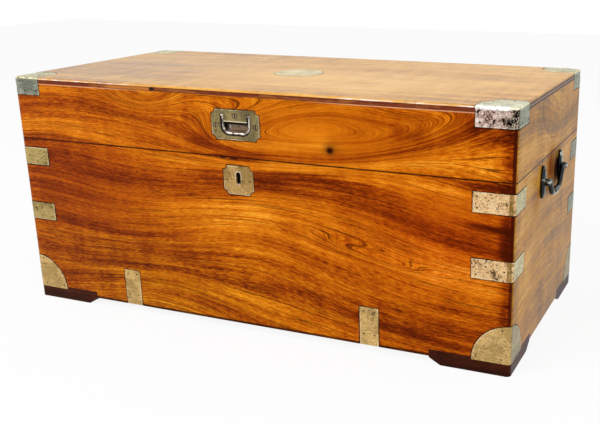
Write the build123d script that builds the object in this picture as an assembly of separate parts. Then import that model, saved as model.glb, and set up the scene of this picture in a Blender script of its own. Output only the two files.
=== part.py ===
from build123d import *
import os

# A camphor-wood campaign trunk, in millimetres.
# X runs to the right along the front, Y to the back and Z up. While the pieces are made, the origin
# is at the middle of the case, level with its boards' lower edge; settle() then puts it on the floor.

# Case and lid
case_width = 1040.0
case_depth = 497.0
case_height = 332.0
lid_height = 124.0
wall = 18.0
bottom_thick = 14.0
top_thick = 12.0
lid_gap = 0.5
corner_round = 8.0
edge_round = 2.5
quirk_depth = 1.4
quirk_height = 1.8
quirk_drop = 4.2
top_seam_height = 1.4
rebate_cover = 10.0

# Feet
foot_drop = 15.0
foot_let_in = 13.0
foot_front_reach = 150.0
foot_end_reach = 136.0
foot_width = 46.0
foot_slant = 22.0
foot_step = 2.5

# Brass let into the wood
brass_thick = 2.2
brass_proud = 0.3
inlay_gap = 0.8
strap_height = 36.0
strap_lower_height = 178.0
strap_upper_drop = 37.0
strap_front_legs = {"left": 64.0, "right": 74.0}
strap_end_leg = 65.0
quarter_radius = 71.0
quarter_base = 8.0
cap_front_legs = {"left": 61.0, "right": 73.0}
cap_end_leg = 67.0
cap_drop = 35.5
cap_top_round = 81.0
cap_edge_round = 3.5
base_strap_width = 37.5
base_strap_height = 75.0
base_strap_return = 60.0
base_strap_end_in = {"left": 247.0, "right": 266.0}
base_strap_bend = 2.0
plaque_radius = 49.0
plaque_place_x = -2.0
plaque_place_y = -9.0

# Pins and screws
pin_radius = 1.7
pin_length = 11.0
pin_inset = 8.0
screw_radius = 1.6
screw_head_radius = 3.6
screw_length = 11.0
screw_slot_width = 0.9
screw_slot_depth = 0.8

# Plates at the front's middle
front_plates_x = -6.0
notch_radius = 8.5
lid_plate_width = 101.0
lid_plate_height = 56.0
lid_plate_rise = 60.0
lid_plate_screw_in = 8.0
lid_plate_side_screw_drop = 1.7
escutcheon_width = 64.0
escutcheon_height = 55.0
escutcheon_drop = 43.5

# Bail in the lid's front
bail_arm_place = 28.0
bail_drop = 33.0
bail_radius = 2.6
bail_bend = 14.0
bail_eye_radius = 3.1
bail_eye_thick = 5.8
bail_pin_radius = 1.25
bail_pin_play = 0.05
bail_gap = 1.0
bail_pivot_rise = 76.5
bail_pivot_inset = 3.7
well_top_drop = 11.0
cup_wall = 1.8
cup_floor_gap = 0.5
cup_play = 0.3
bowl_inset = 1.6
bowl_depth = 11.8
bowl_taper = 16.0

# Lock
keyhole_radius = 4.8
keyhole_slot_width = 7.6
keyhole_drop = 13.0
key_drop = 33.0
drill_pin_radius = 1.8
lock_width = 96.0
lock_height = 62.0
lock_depth = 11.0
lock_wall = 2.0
lock_play = 0.3
lock_ledge_width = 16.0
lock_screw_in = 8.0
bolt_thick_play = 0.3
bolt_right_reach = 36.0
bolt_bar_height = 9.0
bolt_travel = 8.0
bolt_finger_width = 2.8
bolt_finger_height = 5.0
bolt_finger_drop = 12.5
bolt_talon_width = 9.0
bolt_talon_depth = 3.0
link_thick = 2.0
link_width = 11.0
link_length = 84.0
link_place = 26.0
link_screw_in = 8.0
lug_width = 4.0
lug_depth = 6.0
lug_slot_play = 0.8
eye_play = 0.4
eye_base = 2.0
lock_spring_thick = 0.8
lock_spring_width = 4.0
lock_spring_left = 17.0
lock_spring_right = 7.0

# Hinges
hinge_end_in = 190.0
hinge_length = 76.0
hinge_leaf_width = 15.0
hinge_leaf_thick = 2.2
hinge_screw_in = 7.6
hinge_knuckle_radius = 5.5
hinge_knuckles = 5
hinge_knuckle_gap = 0.3
hinge_pin_radius = 2.5
hinge_pin_play = 0.05
hinge_pin_head_radius = 3.8
hinge_pin_head_thick = 1.5
hinge_stand_off = 0.3
hinge_stop_reach = 4.5
hinge_stop_thick = 2.4
hinge_stop_play = 0.3
lid_opening = 100.0

# Carrying handles on the ends
handle_plate_place = 70.0
handle_plate_width = 24.0
handle_plate_height = 61.0
handle_plate_thick = 5.0
handle_plate_bevel = 25.0
handle_plate_screw_place = 19.5
handle_pivot_drop = 40.0
handle_pivot_out = 11.0
handle_boss_radius = 6.5
handle_boss_length = 12.0
handle_trunnion_radius = 3.5
handle_trunnion_play = 0.07
handle_rod_radius = 4.6
handle_grip_radius = 6.8
handle_drop = 31.0
handle_shoulder_place = 54.0
handle_grip_place = 30.0
handle_swell_reach = 21.0
handle_shoulder_bend = 9.0
handle_grip_bend = 18.0
handle_boss_play = 0.4

# One overrun carries every cut past the faces that it goes through
overrun = 5.0

# Levels and faces that follow from the sizes above
front_face = -case_depth / 2
back_face = case_depth / 2
end_face = case_width / 2
strap_mid_heights = {"lower": strap_lower_height, "upper": case_height - strap_upper_drop}
base_strap_places = {
    "left": base_strap_end_in["left"] - end_face,
    "right": end_face - base_strap_end_in["right"],
}
lid_plate_mid_height = case_height + lid_plate_rise
escutcheon_mid_height = case_height - escutcheon_drop
bail_pivot_height = case_height + bail_pivot_rise
key_height = case_height - key_drop
hinge_place = end_face - hinge_end_in
handle_height = case_height - handle_pivot_drop
lid_base = case_height + lid_gap
lid_top = case_height + lid_height
hinge_axis_y = back_face + hinge_stand_off + hinge_knuckle_radius
hinge_axis_z = case_height + lid_gap / 2
bail_pivot_y = front_face + bail_pivot_inset
well_reach = bail_radius + bail_gap
lock_front = front_face + wall - lock_depth
lock_back = front_face + wall
front_reach = brass_proud
back_reach = hinge_stand_off + 2 * hinge_knuckle_radius + hinge_stop_reach
box_shift = (back_reach - front_reach) / 2
sides = {"left": -1, "right": 1}
faces = {"front": -1, "back": 1}


# Helpers

def block(x_limits, y_limits, z_limits):
    """A box between three pairs of planes."""
    size = [abs(high - low) for low, high in (x_limits, y_limits, z_limits)]
    middle = [(low + high) / 2 for low, high in (x_limits, y_limits, z_limits)]
    return Pos(*middle) * Box(*size)


def trunk_form(inset, low, high):
    """The trunk's plan with its rounded upright edges, drawn in by inset, between two levels."""
    size = (case_width - 2 * inset, case_depth - 2 * inset)
    radius = corner_round - inset
    plan = RectangleRounded(*size, radius) if radius > 0 else Rectangle(*size)
    return Pos(0, 0, low) * extrude(plan, high - low)


def corner_block(side, face, front_leg, end_leg, low, high):
    """The box that holds what goes round one upright edge, by its reach along both faces."""
    x_limits = (side * (end_face + overrun), side * (end_face - front_leg))
    y_limits = (face * (back_face + overrun), face * (back_face - end_leg))
    return block(x_limits, y_limits, (low, high))


def rod(start, direction, radius, length):
    """A round bar from a point along a direction."""
    bar = Cylinder(radius, length, align=(Align.CENTER, Align.CENTER, Align.MIN))
    return Plane(origin=start, z_dir=direction) * bar


def cut(body, tools):
    """Takes away the tools that reach the body's box."""
    box = body.bounding_box()
    near = [tool for tool in tools if boxes_meet(box, tool.bounding_box())]
    for tool in near:
        body = body - tool
    return body


def boxes_meet(one, other):
    apart_x = one.min.X > other.max.X or other.min.X > one.max.X
    apart_y = one.min.Y > other.max.Y or other.min.Y > one.max.Y
    apart_z = one.min.Z > other.max.Z or other.min.Z > one.max.Z
    return not (apart_x or apart_y or apart_z)


def settle(shape):
    """Moves the origin to the floor, under the middle of the whole trunk's box."""
    return Pos(0, -box_shift, foot_drop) * shape


# Pins and screws

def pin(point, inward):
    """A plain brass pin with its outer end flush in the brass."""
    return rod(point, inward, pin_radius, pin_length)


def screw_hole(point, inward, length=screw_length):
    """The space that a countersunk screw fills."""
    head_height = screw_head_radius - screw_radius
    cone_align = (Align.CENTER, Align.CENTER, Align.MIN)
    head = Cone(screw_head_radius, screw_radius, head_height, align=cone_align)
    return Plane(origin=point, z_dir=inward) * head + rod(point, inward, screw_radius, length)


def screw(point, inward, length=screw_length):
    """A slotted countersunk screw."""
    slot = Box(2 * screw_head_radius, screw_slot_width, 2 * screw_slot_depth)
    return screw_hole(point, inward, length) - Plane(origin=point, z_dir=inward) * slot


# Wooden boards

def long_board(face, low, high):
    """A front or back board, mitred at both ends."""
    outer = face * case_depth / 2
    inner = face * (case_depth / 2 - wall)
    inner_end = end_face - wall
    corners = ((-end_face, outer), (end_face, outer), (inner_end, inner), (-inner_end, inner))
    plan = Polygon(*corners, align=None)
    return (Pos(0, 0, low) * extrude(plan, high - low, dir=(0, 0, 1))) & trunk_form(0, low, high)


def end_board(side, low, high):
    """An end board, mitred at both ends."""
    outer = side * end_face
    inner = side * (end_face - wall)
    inner_side = back_face - wall
    corners = ((outer, -back_face), (outer, back_face), (inner, inner_side), (inner, -inner_side))
    plan = Polygon(*corners, align=None)
    return (Pos(0, 0, low) * extrude(plan, high - low, dir=(0, 0, 1))) & trunk_form(0, low, high)


def bottom_board():
    """The bottom, let into a rebate round the lower edge of the case."""
    reach_x = end_face - rebate_cover
    reach_y = back_face - rebate_cover
    return block((-reach_x, reach_x), (-reach_y, reach_y), (0, bottom_thick))


def top_board():
    """The lid's top, with a rounded upper edge over a quirk and a bead."""
    low = lid_top - top_thick
    board = trunk_form(0, low, lid_top)
    rim = board.faces().sort_by(Axis.Z)[-1].edges()
    board = fillet(rim, edge_round)
    quirk_top = lid_top - quirk_drop
    ring = trunk_form(-overrun, quirk_top - quirk_height, quirk_top)
    ring -= trunk_form(quirk_depth, quirk_top - quirk_height, quirk_top)
    seam = trunk_form(-overrun, low - overrun, low + top_seam_height)
    seam -= trunk_form(quirk_depth, low - overrun, low + top_seam_height)
    return board - ring - seam


# Feet

def foot_profile(reach):
    """A foot's side from its corner at zero: let in above, slanted at the free end below."""
    end = (reach, -foot_step)
    toe = (reach - foot_slant, -foot_drop)
    return Polygon((0, foot_let_in), (reach, foot_let_in), end, toe, (0, -foot_drop), align=None)


def foot(side, face):
    """An L bracket under one corner, half of it let into the boards' lower edges."""
    corner = (side * end_face, face * back_face, 0)
    along_front = Plane(origin=corner, x_dir=(-side, 0, 0), z_dir=(0, side, 0))
    along_end = Plane(origin=corner, x_dir=(0, -face, 0), z_dir=(-face, 0, 0))
    front_leg = extrude(along_front * foot_profile(foot_front_reach), foot_width, both=True)
    end_leg = extrude(along_end * foot_profile(foot_end_reach), foot_width, both=True)
    legs = (front_leg + end_leg) & trunk_form(0, -foot_drop, foot_let_in)
    return legs - bottom_board() - trunk_form(foot_width, -foot_drop - overrun, foot_let_in)


def foot_notch(side, face):
    """The notches that a foot fills in the boards' lower edges."""
    front_notch = corner_block(side, face, foot_front_reach, rebate_cover, -overrun, foot_let_in)
    end_notch = corner_block(side, face, rebate_cover, foot_end_reach, -overrun, foot_let_in)
    return front_notch + end_notch


# Brass let into the corners

def corner_skin(low, high):
    """The thin layer round the upright faces that the corner brass is taken from."""
    return trunk_form(-brass_proud, low, high) - trunk_form(brass_thick, low, high)


def skin_pocket(window):
    """The wood that comes away under a window of the brass layer."""
    limits = window.bounding_box()
    low = limits.min.Z
    high = limits.max.Z
    return window & (trunk_form(-overrun, low, high) - trunk_form(brass_thick, low, high))


def strap_window(side_name, face, level, gap):
    side = sides[side_name]
    middle = strap_mid_heights[level]
    reach = strap_height / 2 + gap
    front_leg = strap_front_legs[side_name] + gap
    return corner_block(side, face, front_leg, strap_end_leg + gap, middle - reach, middle + reach)


def corner_strap(side_name, face, level):
    """An L strap that goes round an upright edge of the case."""
    middle = strap_mid_heights[level]
    skin = corner_skin(middle - strap_height, middle + strap_height)
    return skin & strap_window(side_name, face, level, 0)


def quarter_window(side, face, gap):
    """Two quarter discs on a corner's two faces, joined round the upright edge."""
    radius = quarter_radius + gap
    base = quarter_base - gap
    on_front = rod((side * end_face, 0, quarter_base), (0, face, 0), radius, case_depth)
    on_end = rod((0, face * back_face, quarter_base), (side, 0, 0), radius, case_width)
    half = quarter_base + radius
    front_part = on_front & corner_block(side, face, radius, corner_round, base, half)
    end_part = on_end & corner_block(side, face, corner_round, radius, base, half)
    return front_part + end_part


def corner_quarter(side, face):
    """A quarter-round plate on both faces of a lower corner."""
    skin = corner_skin(quarter_base, quarter_base + 2 * quarter_radius)
    return skin & quarter_window(side, face, 0)


def cap_window(side_name, face, gap):
    """The plan of a lid corner cap: square at its flanges, rounded off towards the lid's middle."""
    side = sides[side_name]
    low = lid_top - cap_drop - gap
    high = lid_top + overrun
    front_leg = cap_front_legs[side_name] + gap
    square = corner_block(side, face, front_leg, cap_end_leg + gap, low, high)
    post = rod((side * end_face, face * back_face, low), (0, 0, 1), cap_top_round + gap, high - low)
    return square & post


def lid_corner_cap(side_name, face):
    """A three-sided cap on a top corner of the lid, with a rolled upper edge."""
    low = lid_top - cap_drop - overrun
    outside = trunk_form(-brass_proud, low, lid_top + brass_proud)
    rim = outside.faces().sort_by(Axis.Z)[-1].edges()
    outside = fillet(rim, cap_edge_round)
    inside = trunk_form(brass_thick, low, lid_top - brass_thick)
    return (outside - inside) & cap_window(side_name, face, 0)


def cap_pocket(side_name, face):
    window = cap_window(side_name, face, inlay_gap)
    inside = trunk_form(brass_thick, lid_top - cap_drop - overrun, lid_top - brass_thick)
    return window - inside


# Base straps

def base_strap(place, face):
    """An L strap up the face and back under the bottom, rounded where it turns."""
    x_limits = (place - base_strap_width / 2, place + base_strap_width / 2)
    outer = face * (back_face + brass_proud)
    upright = block(x_limits, (outer, face * (back_face - brass_thick)), (-brass_proud, base_strap_height))
    sole = block(x_limits, (outer, face * (back_face - base_strap_return)), (-brass_proud, brass_thick))
    strap = upright + sole
    bend = [edge for edge in strap.edges().filter_by(Axis.X) if edge.center().Z < 0]
    bend = [edge for edge in bend if abs(edge.center().Y) > back_face]
    return fillet(bend, base_strap_bend)


def base_strap_pocket(place, face):
    half = base_strap_width / 2 + inlay_gap
    x_limits = (place - half, place + half)
    outer = face * (back_face + overrun)
    upright = (outer, face * (back_face - brass_thick))
    sole = (outer, face * (back_face - base_strap_return - inlay_gap))
    rise = block(x_limits, upright, (-overrun, base_strap_height + inlay_gap))
    return rise + block(x_limits, sole, (-overrun, brass_thick))


# Round plaque

def plaque(radius, high):
    low = lid_top - brass_thick
    return rod((plaque_place_x, plaque_place_y, low), (0, 0, 1), radius, high - low)


# Plates with notched corners

def notched_outline(width, height, grow):
    """A plate's outline with a hollow quarter-round at each corner, grown by a gap."""
    outline = Rectangle(width + 2 * grow, height + 2 * grow)
    for x in (-width / 2, width / 2):
        for z in (-height / 2, height / 2):
            outline -= Pos(x, z) * Circle(notch_radius - grow)
    return outline


def front_plane(x, z, inset):
    """A drawing plane on the front, its X to the right and its Y up, set into the face by inset."""
    return Plane(origin=(x, front_face + inset, z), x_dir=(1, 0, 0), z_dir=(0, -1, 0))


def front_plate(width, height, mid_height, thick, proud, grow):
    plane = front_plane(front_plates_x, mid_height, thick - proud)
    return extrude(plane * notched_outline(width, height, grow), thick)


def keyhole(start, depth):
    """The keyhole's shape through the front, from a plane towards the front."""
    plane = Plane(origin=(front_plates_x, start, key_height), x_dir=(1, 0, 0), z_dir=(0, -1, 0))
    slot = Pos(0, -keyhole_drop / 2) * Rectangle(keyhole_slot_width, keyhole_drop)
    toe = Pos(0, -keyhole_drop) * Circle(keyhole_slot_width / 2)
    return extrude(plane * (Circle(keyhole_radius) + slot + toe), depth)


def escutcheon_blank(grow, outward):
    thick = brass_thick + outward
    return front_plate(escutcheon_width, escutcheon_height, escutcheon_mid_height, thick, outward, grow)


def escutcheon():
    plate = escutcheon_blank(0, brass_proud)
    return plate - keyhole(front_face + wall, wall + overrun)


# Flush handle in the lid's front

def bail_plane(inset):
    return front_plane(front_plates_x, bail_pivot_height, inset)


def well_outline(grow):
    """The opening round the bail: a bowl that follows its bend, with a slot up to each eye."""
    reach = well_reach + grow
    half_width = bail_arm_place + reach
    low = -bail_drop - reach
    tall = -well_top_drop + grow - low
    shape = Pos(0, low + tall / 2) * Rectangle(2 * half_width, tall)
    lower = [v for v in shape.vertices() if v.Y < low / 2]
    shape = fillet(lower, bail_bend + reach)
    slot_tall = reach - low / 2
    for arm in (-bail_arm_place, bail_arm_place):
        shape += Pos(arm, reach - slot_tall / 2) * Rectangle(2 * reach, slot_tall)
    return shape


def bowl_outline(grow):
    """The finger bowl inside the bail."""
    inset = bail_radius + bowl_inset - grow
    half_width = bail_arm_place - inset
    low = -bail_drop + inset
    tall = -well_top_drop + grow - low
    shape = Pos(0, low + tall / 2) * Rectangle(2 * half_width, tall)
    lower = [v for v in shape.vertices() if v.Y < low / 2]
    return fillet(lower, bail_bend - inset)


def lid_plate():
    thick = brass_thick + brass_proud
    plate = front_plate(lid_plate_width, lid_plate_height, lid_plate_mid_height, thick, brass_proud, 0)
    window = extrude(bail_plane(brass_thick + overrun) * well_outline(0), brass_thick + 2 * overrun)
    return plate - window


def channel_depth():
    """How far into the wood the channel round the bail goes."""
    return bail_pivot_inset + bail_radius + cup_floor_gap


def cup_solid(grow):
    """The cup's outside, grown by the play round it."""
    deep = channel_depth() + cup_wall + grow
    rim = extrude(bail_plane(deep) * well_outline(cup_wall + grow), deep - brass_thick)
    bowl_deep = bowl_depth + cup_wall + grow
    bowl = extrude(bail_plane(bowl_deep) * bowl_outline(cup_wall + grow), bowl_deep - brass_thick)
    return rim + bowl


def lid_cup():
    """The brass cup behind the plate, with the bearings for the bail's pins."""
    channel = extrude(bail_plane(channel_depth()) * well_outline(0), channel_depth())
    bowl_plane = Plane(origin=bail_plane(channel_depth()).origin, x_dir=(1, 0, 0), z_dir=(0, 1, 0))
    bowl_shape = mirror(bowl_outline(0), about=Plane.XZ)
    bowl = extrude(bowl_plane * bowl_shape, bowl_depth - channel_depth(), taper=bowl_taper)
    half = bail_arm_place + well_reach + cup_wall + overrun
    bearing_start = (front_plates_x - half, bail_pivot_y, bail_pivot_height)
    bearing = rod(bearing_start, (1, 0, 0), bail_pin_radius + bail_pin_play, 2 * half)
    return cup_solid(0) - channel - bowl - bearing


def lid_bail():
    """The U bail with an eye and an outward pin at each end."""
    plane = bail_plane(bail_pivot_inset)
    drop = -bail_drop
    points = [(-bail_arm_place, 0), (-bail_arm_place, drop), (bail_arm_place, drop), (bail_arm_place, 0)]
    path = plane * FilletPolyline(*points, radius=bail_bend)
    start = path @ 0
    section = Plane(origin=start, z_dir=path % 0) * Circle(bail_radius)
    bail = sweep(section, path)
    for side in sides.values():
        arm = front_plates_x + side * bail_arm_place
        eye_start = (arm - side * bail_eye_thick / 2, bail_pivot_y, bail_pivot_height)
        bail += rod(eye_start, (side, 0, 0), bail_eye_radius, bail_eye_thick)
        pin_reach = bail_radius + bail_gap + cup_wall
        bail += rod((arm, bail_pivot_y, bail_pivot_height), (side, 0, 0), bail_pin_radius, pin_reach)
    return bail


# Lock

def lock_x(place):
    return front_plates_x + place


def lock_ledge_top():
    """The level that the bolt slides on."""
    return case_height - lock_wall - bolt_finger_drop - bolt_bar_height


def lock_span(half):
    """The X limits of a piece of the lock that reaches as far to both sides of the keyhole."""
    return lock_x(-half), lock_x(half)


def lock_case():
    """The lock's box, open to the inside of the trunk, with two slots for the link plate's lugs."""
    half = lock_width / 2
    low = case_height - lock_height
    inner_half = half - lock_wall
    y_limits = (lock_front, lock_back - lock_wall)
    hollow_y = (lock_front + lock_wall, lock_back)
    case = block(lock_span(half), y_limits, (low, case_height))
    case -= block(lock_span(inner_half), hollow_y, (low + lock_wall, case_height - lock_wall))
    for side in sides.values():
        x_limits = (lock_x(side * inner_half), lock_x(side * (inner_half - lock_ledge_width)))
        case += block(x_limits, y_limits, (low, lock_ledge_top() - lock_play))
        case -= lug_slot(lock_x(side * link_place))
    return case - keyhole(front_face + wall, wall + overrun)


def lug_slot(place):
    half = lug_width / 2 + lug_slot_play
    reach = lug_depth / 2 + lug_slot_play
    y_limits = (lug_middle() - reach, lug_middle() + reach)
    return block((place - half, place + half), y_limits, (case_height - lock_wall, lid_base))


def lug_middle():
    """How deep the lugs hang: the middle of the lock's hollow."""
    return (lock_front + lock_wall + lock_back - lock_wall) / 2


def lock_cap():
    """The plate that closes the lock's box, flush with the board's inner face."""
    z_limits = (case_height - lock_height, case_height)
    return block(lock_span(lock_width / 2), (lock_back - lock_wall, lock_back), z_limits)


def drill_pin():
    """The post that the key turns on, standing on the cap."""
    length = lock_depth - lock_wall
    return rod((front_plates_x, lock_back - lock_wall, key_height), (0, -1, 0), drill_pin_radius, length)


def bolt_root(place):
    """Where a finger leaves its arm, so that at rest its tip stops just short of the lug."""
    return lock_x(place) - lug_width / 2 - lug_slot_play - bolt_travel


def lock_bolt():
    """The sliding bolt: a bar with a talon for the key and two fingers for the lugs' eyes."""
    y_limits = (lock_front + lock_wall + bolt_thick_play, lock_back - lock_wall - bolt_thick_play)
    low = lock_ledge_top()
    high = low + bolt_bar_height
    x_limits = (bolt_root(-link_place) - bolt_finger_height, lock_x(bolt_right_reach))
    bar = block(x_limits, y_limits, (low, high))
    talon = lock_span(bolt_talon_width / 2)
    bar -= block(talon, (lock_front, lock_back), (low - overrun, low + bolt_talon_depth))
    for side in sides.values():
        bar += bolt_finger(side * link_place, high)
    return bar


def bolt_finger(place, bar_top):
    """An arm up from the bar and a finger that points to the right."""
    root = bolt_root(place)
    middle = lug_middle()
    y_limits = (middle - bolt_finger_width / 2, middle + bolt_finger_width / 2)
    top = bar_top + eye_base + bolt_finger_height
    arm = block((root - bolt_finger_height, root), y_limits, (bar_top - bolt_talon_depth, top))
    return arm + block((root, root + bolt_travel), y_limits, (top - bolt_finger_height, top))


def link_plate():
    """The plate under the lid's front board, with two lugs that hang into the lock."""
    middle = lug_middle()
    y_limits = (middle - link_width / 2, middle + link_width / 2)
    top = lid_base + link_thick
    plate = block(lock_span(link_length / 2), y_limits, (lid_base, top))
    bar_top = lock_ledge_top() + bolt_bar_height
    eye_low = bar_top + eye_base - eye_play
    eye_high = eye_low + bolt_finger_height + 2 * eye_play
    eye_half = bolt_finger_width / 2 + eye_play
    lug_y = (middle - lug_depth / 2, middle + lug_depth / 2)
    for side in sides.values():
        place = lock_x(side * link_place)
        plate += block((place - lug_width / 2, place + lug_width / 2), lug_y, (bar_top + eye_play, top))
        through = (place - lug_width, place + lug_width)
        plate -= block(through, (middle - eye_half, middle + eye_half), (eye_low, eye_high))
    return plate


def lock_spring():
    """The flat spring that presses on the bolt's bar, hung from the top of the lock's box."""
    middle = lug_middle()
    y_limits = (middle - lock_spring_width / 2, middle + lock_spring_width / 2)
    start = lock_x(-lock_spring_left)
    low = lock_ledge_top() + bolt_bar_height + lock_play
    hanger = block((start, start + lock_spring_thick), y_limits, (low, case_height - lock_wall))
    return hanger + block((start, lock_x(lock_spring_right)), y_limits, (low, low + lock_spring_thick))


def link_pocket():
    reach = link_width / 2 + inlay_gap
    y_limits = (lug_middle() - reach, lug_middle() + reach)
    z_limits = (lid_base - overrun, lid_base + link_thick)
    return block(lock_span(link_length / 2 + inlay_gap), y_limits, z_limits)


def lock_pocket():
    z_limits = (case_height - lock_height - lock_play, case_height + overrun)
    return block(lock_span(lock_width / 2 + lock_play), (lock_front, lock_back + overrun), z_limits)


# Hinges

def hinge_span(index):
    """The X limits of one knuckle, counted from the hinge's left end."""
    share = hinge_length / hinge_knuckles
    start = -hinge_length / 2 + index * share
    return start + hinge_knuckle_gap / 2, start + share - hinge_knuckle_gap / 2


def hinge_leaf(place, on_lid):
    """A butt hinge's leaf in the edge of a board, with every second knuckle and its stop."""
    low = lid_base if on_lid else case_height - hinge_leaf_thick
    z_limits = (low, low + hinge_leaf_thick)
    half = hinge_length / 2
    leaf = block((place - half, place + half), (back_face - hinge_leaf_width, back_face), z_limits)
    first = 1 if on_lid else 0
    for index in range(first, hinge_knuckles, 2):
        start, end = hinge_span(index)
        x_limits = (place + start, place + end)
        knuckle_start = (place + start, hinge_axis_y, hinge_axis_z)
        leaf += rod(knuckle_start, (1, 0, 0), hinge_knuckle_radius, end - start)
        leaf += block(x_limits, (back_face, hinge_axis_y), z_limits)
        leaf += lid_stop(x_limits) if on_lid else case_stop(x_limits)
    if not on_lid:
        first_end = place + hinge_span(0)[0]
        last_end = place + hinge_span(hinge_knuckles - 1)[1]
        leaf += case_stop_bar((first_end, last_end))
    start = (place - half - overrun, hinge_axis_y, hinge_axis_z)
    return leaf - rod(start, (1, 0, 0), hinge_pin_radius + hinge_pin_play, hinge_length + 2 * overrun)


def case_stop(x_limits):
    """The arm that carries the stop bar from a knuckle on the case."""
    y_limits = (hinge_axis_y, hinge_axis_y + hinge_knuckle_radius + hinge_stop_reach)
    return block(x_limits, y_limits, (hinge_axis_z - hinge_stop_thick, hinge_axis_z))


def case_stop_bar(x_limits):
    """The bar behind the knuckles that the lid's stops come down on."""
    near = hinge_axis_y + hinge_knuckle_radius + hinge_stop_play
    y_limits = (near, hinge_axis_y + hinge_knuckle_radius + hinge_stop_reach)
    return block(x_limits, y_limits, (hinge_axis_z - hinge_stop_thick, hinge_axis_z))


def lid_stop(x_limits):
    """A tail on a lid knuckle that lies on the stop bar when the lid is fully open."""
    y_limits = (hinge_axis_y, hinge_axis_y + hinge_knuckle_radius + hinge_stop_reach)
    low = hinge_axis_z + hinge_stop_play
    open_tail = block(x_limits, y_limits, (low, low + hinge_stop_thick))
    return open_tail.rotate(Axis((0, hinge_axis_y, hinge_axis_z), (1, 0, 0)), lid_opening)


def hinge_pin(place):
    """The pin through a hinge, headed at both ends."""
    half = hinge_length / 2
    body = rod((place - half, hinge_axis_y, hinge_axis_z), (1, 0, 0), hinge_pin_radius, hinge_length)
    for side in sides.values():
        start = (place + side * half, hinge_axis_y, hinge_axis_z)
        body += rod(start, (side, 0, 0), hinge_pin_head_radius, hinge_pin_head_thick)
    return body


def hinge_pocket(place, on_lid):
    low, high = (lid_base - overrun, lid_base + hinge_leaf_thick)
    if not on_lid:
        low, high = (case_height - hinge_leaf_thick, case_height + overrun)
    half = hinge_length / 2 + inlay_gap
    y_limits = (back_face - hinge_leaf_width - inlay_gap, back_face + overrun)
    return block((place - half, place + half), y_limits, (low, high))


# Carrying handles on the ends

def handle_plate(side, face):
    """A pointed-oval backplate with the boss that the bail turns in."""
    half_width = handle_plate_width / 2
    half_height = handle_plate_height / 2
    right = ThreePointArc((0, -half_height), (half_width, 0), (0, half_height))
    left = ThreePointArc((0, half_height), (-half_width, 0), (0, -half_height))
    outline = make_face([right, left])
    middle = face * handle_plate_place
    plane = Plane(origin=(side * end_face, middle, handle_height), x_dir=(0, 1, 0), z_dir=(side, 0, 0))
    plate = extrude(plane * outline, handle_plate_thick, taper=handle_plate_bevel)
    half = handle_boss_length / 2
    pivot = side * (end_face + handle_pivot_out)
    z_limits = (handle_height - handle_boss_radius, handle_height + handle_boss_radius)
    plate += block((side * end_face, pivot), (middle - half, middle + half), z_limits)
    plate += rod((pivot, middle - half, handle_height), (0, 1, 0), handle_boss_radius, handle_boss_length)
    bore_start = (pivot, middle - half - overrun, handle_height)
    bore_length = handle_boss_length + 2 * overrun
    return plate - rod(bore_start, (0, 1, 0), handle_trunnion_radius + handle_trunnion_play, bore_length)


def handle_bail(side):
    """The bow between two bosses: a thinner trunnion in each, sloped arms and a swelling grip."""
    pivot = side * (end_face + handle_pivot_out)
    plane = Plane(origin=(pivot, 0, handle_height), x_dir=(0, 1, 0), z_dir=(1, 0, 0))
    shoulder = handle_plate_place - handle_boss_length / 2 - handle_boss_play
    near_half = [(handle_grip_place, -handle_drop), (handle_shoulder_place, 0), (shoulder, 0)]
    points = [(-y, z) for y, z in reversed(near_half)] + near_half
    bends = [handle_shoulder_bend, handle_grip_bend, handle_grip_bend, handle_shoulder_bend]
    path = plane * FilletPolyline(*points, radius=bends)
    section = Plane(origin=path @ 0, z_dir=path % 0) * Circle(handle_rod_radius)
    bail = sweep(section, path)
    low = handle_height - handle_drop
    grip = handle_swell_reach
    swell = ThreePointArc((-grip, handle_rod_radius), (0, handle_grip_radius), (grip, handle_rod_radius))
    outline = [swell, Line((grip, handle_rod_radius), (grip, 0))]
    outline += [Line((grip, 0), (-grip, 0)), Line((-grip, 0), (-grip, handle_rod_radius))]
    grip_plane = Plane(origin=(pivot, 0, low), x_dir=(0, 1, 0), z_dir=(1, 0, 0))
    grip_axis = Axis((pivot, 0, low), (0, 1, 0))
    bail += revolve(grip_plane * make_face(outline), grip_axis)
    reach = handle_plate_place + handle_boss_length / 2
    for end in faces.values():
        start = (pivot, end * (shoulder - handle_rod_radius), handle_height)
        length = reach - shoulder + handle_rod_radius
        bail += rod(start, (0, end, 0), handle_trunnion_radius, length)
    return bail


# Places of pins and screws

def strap_pins(side_name, face, level):
    side = sides[side_name]
    middle = strap_mid_heights[level]
    offset = strap_height / 2 - pin_inset
    end_x = side * (end_face - strap_front_legs[side_name] + pin_inset)
    mid_x = side * (end_face - corner_round - pin_inset)
    end_y = face * (back_face - strap_end_leg + pin_inset)
    mid_y = face * (back_face - corner_round - pin_inset)
    outer_y = face * (back_face + brass_proud)
    outer_x = side * (end_face + brass_proud)
    on_front = [(end_x, middle + offset), (end_x, middle - offset), (mid_x, middle)]
    on_end = [(end_y, middle + offset), (end_y, middle - offset), (mid_y, middle)]
    made = [pin((x, outer_y, z), (0, -face, 0)) for x, z in on_front]
    return made + [pin((outer_x, y, z), (-side, 0, 0)) for y, z in on_end]


def quarter_pins(side, face):
    far = quarter_radius - pin_inset
    near = corner_round + pin_inset
    low = quarter_base + pin_inset
    outer_y = face * (back_face + brass_proud)
    outer_x = side * (end_face + brass_proud)
    made = []
    for along, up in ((far, 0), (near, far - pin_inset), (near, 0)):
        height = low + up
        made.append(pin((side * (end_face - along), outer_y, height), (0, -face, 0)))
        made.append(pin((outer_x, face * (back_face - along), height), (-side, 0, 0)))
    return made


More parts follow.
